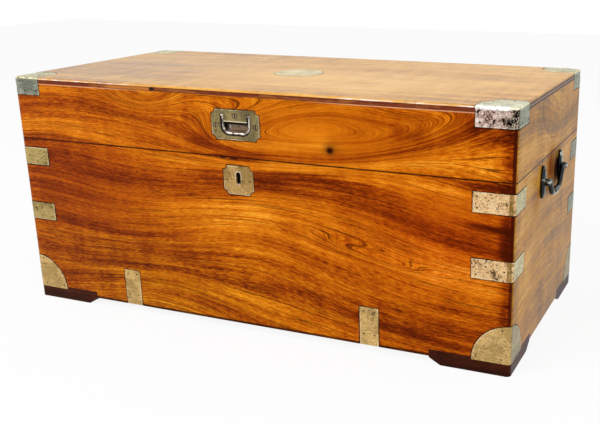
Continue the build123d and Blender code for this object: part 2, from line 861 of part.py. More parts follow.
def cap_pins(side_name, face):
    side = sides[side_name]
    height = lid_top - cap_drop + pin_inset
    outer_y = face * (back_face + brass_proud)
    outer_x = side * (end_face + brass_proud)
    over = lid_top + brass_proud
    far_x = cap_front_legs[side_name] - pin_inset
    far_y = cap_end_leg - pin_inset
    near = corner_round + 2 * pin_inset
    made = [pin((side * (end_face - x), outer_y, height), (0, -face, 0)) for x in (far_x, near)]
    made += [pin((outer_x, face * (back_face - y), height), (-side, 0, 0)) for y in (far_y, near)]
    for x, y in ((far_x, near), (near, far_y)):
        made.append(pin((side * (end_face - x), face * (back_face - y), over), (0, 0, -1)))
    return made


def base_strap_pins(place, face):
    outer = face * (back_face + brass_proud)
    half = base_strap_width / 2 - pin_inset
    top = base_strap_height - pin_inset
    low = bottom_thick + pin_inset
    made = [pin((place + x, outer, z), (0, -face, 0)) for x in (-half, half) for z in (low, top)]
    under = face * (back_face - base_strap_return + pin_inset)
    return made + [pin((place, under, -brass_proud), (0, 0, 1))]


def plate_pins():
    outer = front_face - brass_proud
    half_width = escutcheon_width / 2 - pin_inset
    made = []
    for x in (-half_width, half_width):
        made.append(pin((front_plates_x + x, outer, escutcheon_mid_height), (0, 1, 0)))
    return made


def plaque_pins():
    reach = plaque_radius - pin_inset
    places = ((-reach, 0), (reach, 0), (0, -reach), (0, reach))
    over = lid_top + brass_proud
    return [pin((plaque_place_x + x, plaque_place_y + y, over), (0, 0, -1)) for x, y in places]


def lid_plate_screw_places():
    outer = front_face - brass_proud
    reach = lid_plate_width / 2 - lid_plate_screw_in
    above = bail_pivot_height
    sides_height = lid_plate_mid_height - lid_plate_side_screw_drop
    places = [(front_plates_x, outer, above)]
    return places + [(front_plates_x + x, outer, sides_height) for x in (-reach, reach)]


def handle_screw_places(side):
    outer = side * (end_face + handle_plate_thick)
    heights = (handle_height - handle_plate_screw_place, handle_height + handle_plate_screw_place)
    return [(outer, face * handle_plate_place, z) for face in faces.values() for z in heights]


def hinge_screw_places(place, level):
    reach = hinge_length / 2 - hinge_screw_in
    middle = back_face - hinge_leaf_width / 2
    return [(place + offset, middle, level) for offset in (-reach, 0, reach)]


def lock_screw_places():
    half = lock_width / 2 - lock_wall - lock_ledge_width / 2
    low = case_height - lock_height + lock_screw_in
    high = lock_ledge_top() - lock_screw_in
    return [(lock_x(x), lock_back, z) for x in (-half, half) for z in (low, high)]


def link_screw_places():
    half = link_length / 2 - link_screw_in
    return [(lock_x(x), lug_middle(), lid_base) for x in (-half, 0, half)]


# Assembly

def group(solids):
    """Separate solids kept together under one name."""
    return Compound([solid for piece in solids for solid in piece.solids()])


pieces = {}
corners = [(side_name, face_name) for side_name in sides for face_name in faces]

case_pins = []
lid_pins = []
case_pockets = [bottom_board(), lock_pocket(), keyhole(front_face + wall, wall + overrun)]
case_pockets.append(escutcheon_blank(inlay_gap, overrun))
lid_pockets = [cup_solid(cup_play), link_pocket()]
lid_pockets.append(plaque(plaque_radius + inlay_gap, lid_top + overrun))
lid_plate_sizes = (lid_plate_width, lid_plate_height, lid_plate_mid_height)
lid_pockets.append(front_plate(*lid_plate_sizes, brass_thick + overrun, overrun, inlay_gap))

for side_name, face_name in corners:
    side = sides[side_name]
    face = faces[face_name]
    for level in strap_mid_heights:
        pieces[f"corner_strap_{level}_{face_name}_{side_name}"] = corner_strap(side_name, face, level)
        case_pockets.append(skin_pocket(strap_window(side_name, face, level, inlay_gap)))
        case_pins += strap_pins(side_name, face, level)
    pieces[f"corner_quarter_{face_name}_{side_name}"] = corner_quarter(side, face)
    case_pockets.append(skin_pocket(quarter_window(side, face, inlay_gap)))
    case_pins += quarter_pins(side, face)
    pieces[f"base_strap_{face_name}_{side_name}"] = base_strap(base_strap_places[side_name], face)
    case_pockets.append(base_strap_pocket(base_strap_places[side_name], face))
    case_pins += base_strap_pins(base_strap_places[side_name], face)
    pieces[f"foot_{face_name}_{side_name}"] = foot(side, face)
    pieces[f"lid_corner_cap_{face_name}_{side_name}"] = lid_corner_cap(side_name, face)
    lid_pockets.append(cap_pocket(side_name, face))
    lid_pins += cap_pins(side_name, face)
    pieces[f"handle_plate_{side_name}_{face_name}"] = handle_plate(side, face)

pieces["escutcheon"] = escutcheon()
case_pins += plate_pins()
pieces["lid_plaque"] = plaque(plaque_radius, lid_top + brass_proud)
lid_pins += plaque_pins()
pieces["lid_handle_plate"] = lid_plate()
pieces["lid_handle_cup"] = lid_cup()
pieces["lock_case"] = lock_case()
pieces["lock_cap"] = lock_cap()
pieces["lock_link_plate"] = link_plate()

case_screws = []
lid_screws = []
screw_holes = []
for side_name, side in sides.items():
    place = side * hinge_place
    pieces[f"hinge_case_leaf_{side_name}"] = hinge_leaf(place, False)
    pieces[f"hinge_lid_leaf_{side_name}"] = hinge_leaf(place, True)
    case_pockets.append(hinge_pocket(place, False))
    lid_pockets.append(hinge_pocket(place, True))
    for point in hinge_screw_places(place, case_height):
        case_screws.append(screw(point, (0, 0, -1)))
        screw_holes.append(screw_hole(point, (0, 0, -1)))
    for point in hinge_screw_places(place, lid_base):
        lid_screws.append(screw(point, (0, 0, 1)))
        screw_holes.append(screw_hole(point, (0, 0, 1)))
    for point in handle_screw_places(side):
        case_screws.append(screw(point, (-side, 0, 0)))
        screw_holes.append(screw_hole(point, (-side, 0, 0)))
for point in lock_screw_places():
    lock_screw_length = lock_depth + lock_wall
    case_screws.append(screw(point, (0, -1, 0), lock_screw_length))
    screw_holes.append(screw_hole(point, (0, -1, 0), lock_screw_length))
for point in link_screw_places():
    lid_screws.append(screw(point, (0, 0, 1)))
    screw_holes.append(screw_hole(point, (0, 0, 1)))
for point in lid_plate_screw_places():
    lid_screws.append(screw(point, (0, 1, 0)))
    screw_holes.append(screw_hole(point, (0, 1, 0)))

case_boards = {"bottom_board": bottom_board()}
lid_boards = {"lid_top_board": top_board()}
for face_name, face in faces.items():
    case_boards[f"{face_name}_board"] = long_board(face, 0, case_height)
    lid_boards[f"lid_{face_name}_board"] = long_board(face, lid_base, lid_top - top_thick)
for side_name, side in sides.items():
    case_boards[f"{side_name}_end_board"] = end_board(side, 0, case_height)
    lid_boards[f"lid_{side_name}_end_board"] = end_board(side, lid_base, lid_top - top_thick)

notches = [foot_notch(sides[side_name], faces[face_name]) for side_name, face_name in corners]
for name, board in case_boards.items():
    pockets = case_pockets[1:] if name == "bottom_board" else case_pockets + notches
    pieces[name] = cut(board, pockets)
for name, board in lid_boards.items():
    pieces[name] = cut(board, lid_pockets)
for side_name, face_name in corners:
    name = f"foot_{face_name}_{side_name}"
    pieces[name] = cut(pieces[name], case_pockets[1:])

fixings = case_pins + lid_pins + screw_holes
for name in list(pieces):
    pieces[name] = cut(pieces[name], fixings)

pieces["case_brass_pins"] = group(case_pins)
pieces["lid_brass_pins"] = group(lid_pins)
pieces["case_screws"] = group(case_screws)
pieces["lid_screws"] = group(lid_screws)
pieces["lock_drill_pin"] = drill_pin()
pieces["lock_spring"] = lock_spring()
pieces["lock_bolt"] = lock_bolt()
pieces["hinge_pins"] = group([hinge_pin(side * hinge_place) for side in sides.values()])
pieces["lid_handle_bail"] = lid_bail()
for side_name, side in sides.items():
    pieces[f"handle_bail_{side_name}"] = handle_bail(side)

os.makedirs("parts", exist_ok=True)
for name, shape in pieces.items():
    export_step(settle(shape), f"parts/{name}.step")
print(len(pieces), "pieces")
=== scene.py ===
import math

import bpy
from mathutils import Matrix, Vector, noise


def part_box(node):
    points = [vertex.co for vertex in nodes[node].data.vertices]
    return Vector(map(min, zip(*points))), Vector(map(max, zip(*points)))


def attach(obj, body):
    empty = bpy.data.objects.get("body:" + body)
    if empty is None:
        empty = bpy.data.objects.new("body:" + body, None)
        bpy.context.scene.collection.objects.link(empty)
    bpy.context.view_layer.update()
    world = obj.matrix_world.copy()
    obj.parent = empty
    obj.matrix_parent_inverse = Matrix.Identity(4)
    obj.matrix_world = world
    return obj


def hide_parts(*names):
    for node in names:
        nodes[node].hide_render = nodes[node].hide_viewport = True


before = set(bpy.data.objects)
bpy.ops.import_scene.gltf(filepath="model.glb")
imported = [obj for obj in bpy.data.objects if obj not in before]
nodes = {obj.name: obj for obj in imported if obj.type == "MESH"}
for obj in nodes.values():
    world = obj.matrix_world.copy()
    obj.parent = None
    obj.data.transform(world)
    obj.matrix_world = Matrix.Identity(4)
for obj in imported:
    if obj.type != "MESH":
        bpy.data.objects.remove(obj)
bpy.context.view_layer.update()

# Lengths are in metres. X runs to the right along the front, Y to the back and Z up from the floor.

# Faces and levels of the trunk
END = 0.52
FRONT = -0.25625
BACK = 0.24075
BASE = 0.015
JOINT = BASE + 0.332
TOP = BASE + 0.456
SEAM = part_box("lid_front_board")[1][2]

# Plates at the front's middle, and the keyhole in the lower one
PLATES_X = -0.006
NOTCHED = ("escutcheon", "lid_handle_plate")
NOTCH = 0.0085
KEY_HEIGHT = BASE + 0.299
KEY_DROP = 0.013
KEY_REACH = 0.0044
KEY_SHADE_REACH = 0.003

# The well in the lid's flush plate: lengths down from the bail's ends and out from the plates' middle
WELL_TOP = BASE + 0.4085
WELL_DROP = 0.011
WELL_FLAT = 0.014
WELL_DEEP = 0.019
WELL_ROUND = 0.0176
LIP_HALF = 0.026
CUP_SHADOW = 0.017
CUP_WALL = 0.0205
CUP_GLINT = 0.0165
EYE_PLACE = 0.0262
EYE_RADIUS = 0.0052

# The screws of the flush plate
SCREW_INSET = 0.008
SCREW_DROP = 0.0017
SCREW_RADIUS = 0.0036
SLOT_HALF = 0.0011

# Round plates
PLAQUE_PLACE = (-0.002, -0.01675)
PLAQUE_RADIUS = 0.049
QUARTER_LEVEL = BASE + 0.008
QUARTER_RADIUS = 0.071
CAP_ROUND = 0.081

# Corner caps: the grid that softens them, the rate and depth of their dents, and how far a dented face
# has to look outward
CAP_VOXEL = 0.0009
CAP_DENTS = ((90.0, 0.0011), (220.0, 0.0008))
OUTER_SHARE = 0.2

# Carrying handles: a plate's outline is scaled by each share at each height, and a boss has rings of
# each radius along its pivot
HANDLE_LEVEL = 0.307
HANDLE_WIDE = 0.0118
PLATE_FULLNESS = 0.85
PLATE_STEPS = 56
PLATE_PROFILE = (
    (1.0, 0.0), (1.0, 0.0038), (0.975, 0.0047), (0.93, 0.005), (0.88, 0.0047), (0.84, 0.0052),
    (0.77, 0.0064), (0.64, 0.0072), (0.46, 0.0078), (0.24, 0.0083), (0.08, 0.0085),
)
PIVOT_OUT = 0.531
BOSS_STEPS = 28
BOSS_PROFILE = (
    (-0.0062, 0.0036), (-0.0061, 0.0045), (-0.0055, 0.0055), (-0.004, 0.0062), (0.0, 0.0065),
    (0.004, 0.0062), (0.0055, 0.0055), (0.0061, 0.0045), (0.0062, 0.0036),
)

# Camera, from the photograph's perspective
CAMERA_PLACE = (0.86396, -1.59788, 0.71344)
CAMERA_TURN = -0.392779
CAMERA_TILT = -0.30638
CAMERA_ROLL = -0.00606
CAMERA_LENS = 52.673
CAMERA_SHIFT = (-0.15982, 0.02114)

# Light, and the share of plain white in the floor that the camera sees
SKY_LEVEL = 0.62
FLOOR_SIZE = 12.0
FLOOR_COLOUR = (0.93, 0.93, 0.93, 1)
FLOOR_SHARE = 0.9

# Each lamp: its name, its place, what it points at, its size and its power
LAMPS = (
    ("key", (-1.4, -2.6, 2.6), (0, -0.1, 0.25), (2.6, 2.0), 70),
    ("fill", (2.6, -1.4, 1.6), (0.3, 0, 0.25), (2.0, 2.0), 22),
)


def set_camera():
    turn, tilt, roll = CAMERA_TURN, CAMERA_TILT, CAMERA_ROLL
    ahead = Vector((math.sin(turn) * math.cos(tilt), math.cos(turn) * math.cos(tilt), math.sin(tilt)))
    level = Vector((math.cos(turn), -math.sin(turn), 0))
    up = level.cross(ahead)
    right = level * math.cos(roll) + up * math.sin(roll)
    upright = up * math.cos(roll) - level * math.sin(roll)
    data = bpy.data.cameras.new("camera")
    data.sensor_width = 36
    data.lens = CAMERA_LENS
    data.shift_x, data.shift_y = CAMERA_SHIFT
    data.clip_start = 0.05
    data.clip_end = 50
    camera = linked("camera", data)
    columns = (right, upright, -ahead)
    turned = Matrix([[c[i] for c in columns] for i in range(3)]).to_4x4()
    camera.matrix_world = Matrix.Translation(CAMERA_PLACE) @ turned
    bpy.context.scene.camera = camera


def area_light(name, place, target, size, power):
    data = bpy.data.lights.new(name, "AREA")
    data.shape = "RECTANGLE"
    data.size, data.size_y = size
    data.energy = power
    light = linked(name, data)
    light.location = place
    light.rotation_euler = (Vector(target) - Vector(place)).to_track_quat("-Z", "Y").to_euler()


def linked(name, data):
    made = bpy.data.objects.new(name, data)
    bpy.context.scene.collection.objects.link(made)
    return made


def named(*starts):
    return [name for name in nodes if name.startswith(starts)]


class Graph:
    """A node material and short ways to add to it."""

    def __init__(self, name):
        self.material = bpy.data.materials.new(name)
        self.material.use_nodes = True
        self.tree = self.material.node_tree
        self.shader = self.tree.nodes["Principled BSDF"]
        self.place = self.tree.nodes.new("ShaderNodeTexCoord").outputs["Object"]
        self.at = self.split(self.place)
        self.x, self.y, self.z = self.at.values()

    def node(self, kind, inputs=None, **settings):
        made = self.tree.nodes.new("ShaderNode" + kind)
        for key, value in settings.items():
            setattr(made, key, value)
        for key, value in (inputs or {}).items():
            self.feed(made.inputs[key], value)
        return made

    def feed(self, socket, value):
        if isinstance(value, bpy.types.NodeSocket):
            self.tree.links.new(value, socket)
        else:
            socket.default_value = value

    def shade(self, **values):
        """Feeds the shader's sockets, whose names are written with _ for a space."""
        for name, value in values.items():
            self.feed(self.shader.inputs[name.replace("_", " ")], value)

    def math(self, operation, *values, clamp=False):
        made = self.node("Math", dict(enumerate(values)), operation=operation, use_clamp=clamp)
        return made.outputs[0]

    def times(self, first, second, clamp=False):
        return self.math("MULTIPLY", first, second, clamp=clamp)

    def minus(self, first, second):
        return self.math("SUBTRACT", first, second)

    def larger(self, first, second):
        return self.math("MAXIMUM", first, second)

    def size(self, value):
        return self.math("ABSOLUTE", value)

    def scaled(self, value, factor, shift=0.0):
        return self.math("MULTIPLY_ADD", value, factor, shift)

    def split(self, vector):
        return dict(zip("XYZ", self.node("SeparateXYZ", {0: vector}).outputs))

    def join(self, x, y, z):
        return self.node("CombineXYZ", {0: x, 1: y, 2: z}).outputs[0]

    def noise(self, vector, scale=1.0, detail=3.0, rough=0.55, distortion=0.0):
        inputs = {"Vector": vector, "Scale": scale, "Detail": detail, "Roughness": rough}
        inputs["Distortion"] = distortion
        return self.node("TexNoise", inputs).outputs[0]

    def stretch(self, factors):
        """The place, with each direction at a rate of its own."""
        made = self.node("VectorMath", {0: self.place, 1: factors}, operation="MULTIPLY")
        return made.outputs[0]

    def step(self, value, low, high, bottom=0.0, top=1.0):
        """A smooth rise from bottom to top between two values."""
        inputs = {0: value, 1: low, 2: high, 3: bottom, 4: top}
        made = self.node("MapRange", inputs, interpolation_type="SMOOTHSTEP")
        return made.outputs[0]

    def ramp(self, value, stops):
        made = self.node("ValToRGB", {0: value})
        elements = made.color_ramp.elements
        while len(elements) < len(stops):
            elements.new(0.5)
        for element, (position, colour) in zip(elements, stops):
            element.position = position
            element.color = (*colour, 1)
        return made.outputs[0]

    def mix(self, factor, first, second, kind="MIX"):
        made = self.node("Mix", {0: factor}, data_type="RGBA", blend_type=kind)
        for key, value in ((6, first), (7, second)):
            self.feed(made.inputs[key], (*value, 1) if isinstance(value, tuple) else value)
        return made.outputs[2]

    def bump(self, height, strength, distance):
        inputs = {"Height": height, "Strength": strength, "Distance": distance}
        self.feed(self.shader.inputs["Normal"], self.node("Bump", inputs).outputs[0])

    def hill(self, u, v, place, reach, turn=0.0):
        """A smooth hill of height one over the plane of u and v."""
        cosine, sine = math.cos(turn), math.sin(turn)
        from_u = self.minus(u, place[0])
        from_v = self.minus(v, place[1])
        along = self.scaled(from_u, cosine / reach[0], self.times(from_v, sine / reach[0]))
        across = self.scaled(from_u, -sine / reach[1], self.times(from_v, cosine / reach[1]))
        square = self.scaled(along, along, self.times(across, across))
        return self.math("EXPONENT", self.times(square, -1.0))

    def least(self, values):
        result = values[0]
        for value in values[1:]:
            result = self.math("MINIMUM", result, value)
        return result

    def length(self, first, second):
        square = self.scaled(first, first, self.times(second, second))
        return self.math("SQRT", square)

    def between(self, value, low, high, soft):
        """One between low and high, falling off smoothly outside them."""
        rise = self.step(value, low - soft, low + soft)
        return self.times(rise, self.step(value, high - soft, high + soft, 1.0, 0.0))

    def off_middle(self, value):
        """How far a noise is from its middle value."""
        return self.size(self.minus(value, 0.5))

    def ragged(self, reach, wavering, width):
        """A length that a noise makes up to half of width longer or shorter."""
        return self.scaled(wavering, width, self.minus(reach, width / 2))

    def outside_plate(self, u, v, low, high, notch=0.0):
        """How far a point is outside the outline of a flat plate, less than zero inside it."""
        beyond = []
        for value, bottom, top in ((u, low[0], high[0]), (v, low[1], high[1])):
            away = self.size(self.minus(value, (bottom + top) / 2))
            beyond.append(self.minus(away, (top - bottom) / 2))
        reach = self.larger(*beyond)
        if notch:
            reach = self.larger(reach, self.scaled(self.length(*beyond), -1.0, notch))
        return reach

    def outside_round(self, u, v, place, radius):
        away = self.length(self.minus(u, place[0]), self.minus(v, place[1]))
        return self.minus(away, radius)

    def outside_keyhole(self, u, v):
        """How far a point is outside the keyhole, over the front's plane."""
        drop = self.minus(KEY_HEIGHT, v)
        inside = self.math("MINIMUM", self.larger(drop, 0.0), KEY_DROP)
        away = self.length(self.minus(u, PLATES_X), self.minus(drop, inside))
        return self.minus(away, KEY_REACH)


# Wood

# Each hill bends the grain: how far, where along and across, its reaches, all in millimetres, and its tilt
FRONT_FIGURE = (
    (-92, -71, 107, 557, 213, 0.58),
    (208, 143, 389, 185, 42, 0.12),
    (72, 313, 398, 162, 24, 0.3),
    (38, 9, 366, 45, 30, -0.01),
    (24, 257, 176, 116, 13, -0.2),
    (-76, -545, 211, 343, 179, 0.6),
    (-83, 548, 453, 157, 68, 0.26),
    (95, -200, 455, 66, 40, 0.1),
    (22, -9, 31, 218, 89, -0.47),
    (-22, 575, 375, 75, 36),
)
RIGHT_FIGURE = ((60, 90, 420, 130, 70), (-30, -60, 160, 200, 90, 0.1))
LEFT_FIGURE = ((40, 30, 300, 120, 70, 0.2),)
TOP_FIGURE = ((-40, 150, 60, 300, 120, 0.2), (30, -300, -60, 200, 80))

# Each patch lightens or darkens: how much, where, its reaches and its tilt
FRONT_PATCHES = (
    (0.1, 0, 170, 120, 60, 0.1),
    (0.1, -20, 205, 90, 18, 0.25),
    (0.06, -230, 370, 200, 25, -0.1),
    (0.12, 120, 375, 90, 35, 0.1),
    (0.08, 380, 350, 140, 18, 0.15),
    (-0.12, 60, 285, 160, 16, -0.05),
    (-0.06, -300, 268, 180, 12),
    (-0.06, -260, 228, 160, 14, 0.05),
    (0.09, -340, 245, 130, 22, -0.12),
    (-0.1, 400, 225, 150, 12, -0.22),
    (0.14, 290, 313, 190, 7, -0.03),
    (-0.36, 478, 321, 48, 9, -0.04),
    (-0.09, 300, 270, 190, 9, -0.24),
    (0.09, 230, 262, 160, 8, -0.22),
    (-0.28, 482, 252, 56, 6, -0.06),
    (-0.26, 470, 424, 42, 26),
    (-0.24, 490, 400, 40, 9, 0.12),
    (-0.16, 335, 397, 26, 12),
    (0.12, 168, 372, 26, 14),
    # Painted shade along the rounded right upright corner
    (-0.28, 508, 300, 12, 400),
    (-0.1, -60, 80, 240, 9, 0.02),
    (-0.12, 300, 45, 200, 14, -0.18),
    (0.05, -100, 55, 130, 14),
    (0.1, 425, 190, 110, 40, -0.2),
    (0.08, 425, 250, 110, 26, -0.3),
    (-0.05, 430, 75, 150, 50),
    (-0.14, -470, 300, 40, 16),
    (-0.16, -400, 190, 260, 130),
    (-0.1, -400, 250, 160, 50),
    (0.05, -430, 410, 100, 40),
    (-0.05, -150, 60, 300, 60),
    (-0.3, 10, 330, 34, 5, -0.02),
    (-0.25, -45, 334, 20, 3),
    (-0.2, -15, 347, 60, 5, -0.1),
    (-0.16, -80, 362, 30, 12),
    (-0.13, 62, 297, 45, 16),
)
RIGHT_PATCHES = (
    (0.16, -200, 230, 70, 300),
    (0.14, -143, 400, 14, 60),
    (0.1, 40, 340, 120, 10),
    (-0.06, 90, 420, 150, 60),
    # Painted shade low down beside the front corner
    (-0.24, -243, 112, 24, 60),
    (-0.16, -238, 262, 22, 26),
    (-0.1, 120, 190, 80, 26, 0.3),
)
# Painted reflection on the top: darker at its left, lighter at its middle and right
TOP_SHEEN_PATCHES = (
    (-0.16, -400, -140, 260, 160),
    (0.28, 60, -60, 220, 140),
    (0.12, 350, 0, 180, 220),
)

# Each calm place has an even colour: where, its reaches and its strength
FRONT_CALM = ((175, 395, 130, 45, 0.65), (-370, 235, 190, 80, 0.42), (400, 262, 130, 40, 0.4))
TOP_CALM = ((60, 0, 600, 300, 0.42),)

# Where the front has all its dark lines: the place and the reaches
FRONT_LIVELY = (-215, 405, 130, 50)

# Each knotty spot and each black patch of painted shade: where, its reaches and its strength
FRONT_KNOTS = ((184, 360, 7, 6, 1.4), (184, 364, 16, 12, 0.5))
# Painted shade, black, on the right end beside the handle's back plate
RIGHT_BLACK_SHADE = ((42, 292, 24, 28, 1.4),)

AMBER = (
    (0.1, (0.05, 0.004, 0.0003)),
    (0.28, (0.155, 0.017, 0.0006)),
    (0.41, (0.315, 0.049, 0.001)),
    (0.5, (0.43, 0.091, 0.0014)),
    (0.59, (0.535, 0.131, 0.0024)),
    (0.72, (0.7, 0.205, 0.006)),
    (0.88, (0.86, 0.345, 0.025)),
)
# Painted reflection: the ends and the top get paler tones than the front's amber, for the pale sheen they
# show
END_SHEEN_HONEY = (
    (0.1, (0.15, 0.064, 0.008)),
    (0.3, (0.278, 0.116, 0.008)),
    (0.5, (0.412, 0.172, 0.01)),
    (0.7, (0.525, 0.246, 0.02)),
    (0.9, (0.625, 0.325, 0.055)),
)
TOP_SHEEN_HONEY = (
    (0.1, (0.27, 0.095, 0.015)),
    (0.3, (0.49, 0.218, 0.03)),
    (0.5, (0.7, 0.348, 0.062)),
    (0.7, (0.82, 0.436, 0.092)),
    (0.9, (0.905, 0.54, 0.15)),
)
PLAIN_WOOD = ((0.3, (0.2, 0.09, 0.035)), (0.7, (0.36, 0.17, 0.07)))
FOOT_RED = ((0.2, (0.01, 0.002, 0.001)), (0.5, (0.032, 0.006, 0.003)), (0.8, (0.08, 0.015, 0.005)))
WHITE = (1.0, 1.0, 1.0)
BLACK = (0.0, 0.0, 0.0)
RAW = (0.3, 0.13, 0.045)
LIGHT_RAW = (0.45, 0.195, 0.0675)
DARK_LINE = (0.022, 0.003, 0.001)
DARK_RED = (0.085, 0.01, 0.003)
CORNER_RED = (0.04, 0.003, 0.001)
# Painted shade, with some grime, on the end boards between the handle's plates and beside them
HANDLE_SHADE = (0.17, 0.038, 0.006)
# Colour of the painted shade on the top's left part
TOP_SHADE_HONEY = (0.46, 0.32, 0.195)
GREY_BROWN = (0.13, 0.075, 0.045)
SEAM_HIGHLIGHT = (0.86, 0.46, 0.27)
EDGE_RED = (0.15, 0.022, 0.006)
EDGE_AMBER = (0.46, 0.155, 0.022)
EDGE_GOLD = (0.78, 0.37, 0.075)
EDGE_HIGHLIGHT = (1.000, 0.84, 0.76)

# Each patch of painted shade: where, its reaches, its strength and colour, and how dull it makes the
# surface
RIGHT_SHADE_MARKS = ((-7, 302, 30, 30, 1.3, HANDLE_SHADE, 1.0), (-112, 262, 18, 28, 0.45, HANDLE_SHADE, 0.6))
LEFT_SHADE_MARKS = ((-7, 302, 30, 30, 1.0, HANDLE_SHADE, 1.0),)
# Painted shade over the top's left part
TOP_LEFT_SHADE = ((-400, -60, 220, 220, 0.55, TOP_SHADE_HONEY, 0.0),)

# Each band: the direction it is set off on, from where to where, how soft, its shade and strength
JOINT_BAND = ("Z", JOINT - 0.0015, JOINT + 0.0012, 0.0008, DARK_LINE, 1.0)
# Painted shadow along the lower edge of the front and back boards
BOTTOM_SHADE_BAND = ("Z", 0.0, BASE + 0.0048, 0.0012, DARK_LINE, 0.95)
# Painted shade of the rounded upright corner, over dark patina
CORNER_SHADE_BAND = ("X", END - 0.0075, END + 0.01, 0.0012, CORNER_RED, 0.97)
SEAM_BAND = ("Z", SEAM - 0.002, TOP, 0.0008, GREY_BROWN, 0.9)
# Painted shade and dark patina on the ends by the rounded front corner
FRONT_CORNER_SHADE_BAND = ("Y", FRONT - 0.01, FRONT + 0.0034, 0.001, DARK_RED, 0.9)
END_BANDS = (JOINT_BAND, SEAM_BAND, FRONT_CORNER_SHADE_BAND)

# Streaks drawn out along the grain: their rates along and across it, the noise's detail and roughness
BROAD = (1.1, 15.0, 3.0, 0.55)
MIDDLE = (3.4, 55.0, 3.0, 0.6)
FINE = (7.0, 280.0, 3.0, 0.65)
FLECKS = (75.0, 620.0, 2.0, 0.7)
HAIRS = (1.5, 150.0, 3.0, 0.5)
LONG_HAIRS = (0.8, 60.0, 2.0, 0.5)
HAIR_WIDTH = 0.021
LONG_HAIR_WIDTH = 0.01
LONG_HAIR_SHARE = 0.75

# Noise that doesn't follow the figure: its rates along and across the grain, and its detail
WANDER = (2.6, 7.0, 2.0)
WANDER_REACH = 0.016
CURL = (30.0, 12.0, 3.0)

# How much the broad, middle and fine streaks, the flecks and the curl show
GAINS = (0.84, 0.64, 0.5, 0.78, 0.24)
END_GAINS = (1.4, 0.7, 0.7, 1.05, 0.7)
TOP_GAINS = (1.35, 0.9, 1.0, 1.35, 0.9)

# A calm place evens out lines by this much more than tones
CALM_LINES = 1.35

# A round figure: its place and reaches in millimetres, and its tones by the share of the way out
RIGHT_RINGS = (90, 430, 180, 85)
RING_TONES = (
    (0.36, 0.62), (0.4, 0.42), (0.45, 0.55), (0.56, 0.54), (0.6, 0.43), (0.66, 0.56), (0.74, 0.53),
    (0.79, 0.42), (0.84, 0.5), (0.965, 0.46), (1.00, 0.28), (1.035, 0.57), (1.2, 0.5),
)
RING_WAVER = 0.28
RING_SHARE = 0.7

# How far the outline of the dirt round a plate wavers
RIM_WAVER = 0.0022

# How deep in a board its polish starts to give way to raw wood, and where all of it is raw
RAW_DEPTHS = (0.014, 0.017)
TOP_RAW_DEPTHS = (0.0105, 0.0118)

# The mating faces at the joint are raw too, behind a skin of polish
MATING_HALF = 0.0005
SKIN = 0.0012
SKIN_FADE = 0.0016

# Finishes: how strongly the surface shines, the tint of that and the roughness
RED_SHEEN = {"specular": 0.12, "tint": (1.0, 0.3, 0.08), "rough": 0.25}
END_FINISH = {"specular": 0.05, "tint": WHITE, "rough": 0.3}
TOP_FINISH = {"specular": 0.13, "tint": WHITE, "rough": 0.3}
PLAIN_FINISH = {"specular": 0.2, "tint": (1.0, 0.3, 0.08), "rough": 0.6}
FOOT_FINISH = {"specular": 0.09, "tint": (1, 0.5, 0.3), "rough": 0.4}
PALE_LINES = 0.3


class Grain:
    """A board's grain, bent by its figure, and smooth hills and noise that go by it."""

    def __init__(self, g, axes, figure, seed):
        self.g = g
        self.seed = seed
        self.along, self.across, self.deep = (g.at[axis] for axis in axes)
        self.level = g.scaled(self.across, 1.0, -BASE if axes[1] == "Z" else 0.0)
        field = self.level
        for amount, *hill in figure:
            field = g.scaled(self.hill(*hill), amount / 1000, field)
        self.field = g.scaled(self.drift(*WANDER), WANDER_REACH, field)

    def hill(self, u, v, reach_u, reach_v, turn=0.0):
        """A smooth hill over the board, with its place and reaches in millimetres."""
        reach = (reach_u / 1000, reach_v / 1000)
        return self.g.hill(self.along, self.level, (u / 1000, v / 1000), reach, turn)

    def drift(self, along_rate, across_rate, detail):
        g = self.g
        along = g.scaled(self.along, along_rate, self.seed)
        return g.noise(g.join(along, g.scaled(self.across, across_rate), self.deep), detail=detail)

    def streaks(self, along_rate, field_rate, detail, rough):
        g = self.g
        along = g.scaled(self.along, along_rate, self.seed)
        place = g.join(along, g.scaled(self.field, field_rate), g.scaled(self.deep, field_rate))
        return g.noise(place, detail=detail, rough=rough)


def calm_share(grain, calm):
    g = grain.g
    quiet = 0.0
    for *place, strength in calm:
        quiet = g.larger(quiet, g.times(grain.hill(*place), strength))
    return quiet


def streak_tone(grain, parts, gains, quiet):
    """The streaks added up to a tone near a half, which a calm place evens out."""
    g = grain.g
    tone = -sum(gains) / 2
    for part, gain in zip(parts, gains):
        tone = g.scaled(part, gain, tone)
    return g.math("ADD", g.times(tone, g.scaled(quiet, -1.0, 1.0)), 0.5)


def ring_tone(grain, rings):
    """How much lighter or darker the rings of a round figure make the wood."""
    g = grain.g
    u, v, reach_u, reach_v = rings
    along = g.scaled(grain.along, 1000 / reach_u, -u / reach_u)
    across = g.scaled(grain.level, 1000 / reach_v, -v / reach_v)
    reach = g.ragged(g.length(along, across), g.noise(g.place, scale=9.0), RING_WAVER)
    stops = [(share * RING_SHARE, (tone, tone, tone)) for share, tone in RING_TONES]
    return g.minus(g.ramp(g.scaled(reach, RING_SHARE), stops), 0.5)


def dark_lines(grain, broad, quiet, lined, lively):
    """Thin lines where the broad streaks are light or the wood is lively, and a few long ones."""
    g = grain.g
    lines = g.step(g.off_middle(grain.streaks(*HAIRS)), 0.0, HAIR_WIDTH, lined, 0.0)
    shown = g.step(broad, 0.42, 0.58, 0.15, 1.0)
    if lively is not None:
        shown = g.larger(shown, grain.hill(*lively))
    long = g.off_middle(grain.streaks(*LONG_HAIRS))
    long = g.step(long, 0.0, LONG_HAIR_WIDTH, LONG_HAIR_SHARE * lined, 0.0)
    lines = g.larger(g.times(lines, shown), long)
    return g.times(lines, g.scaled(quiet, -CALM_LINES, 1.0), clamp=True)


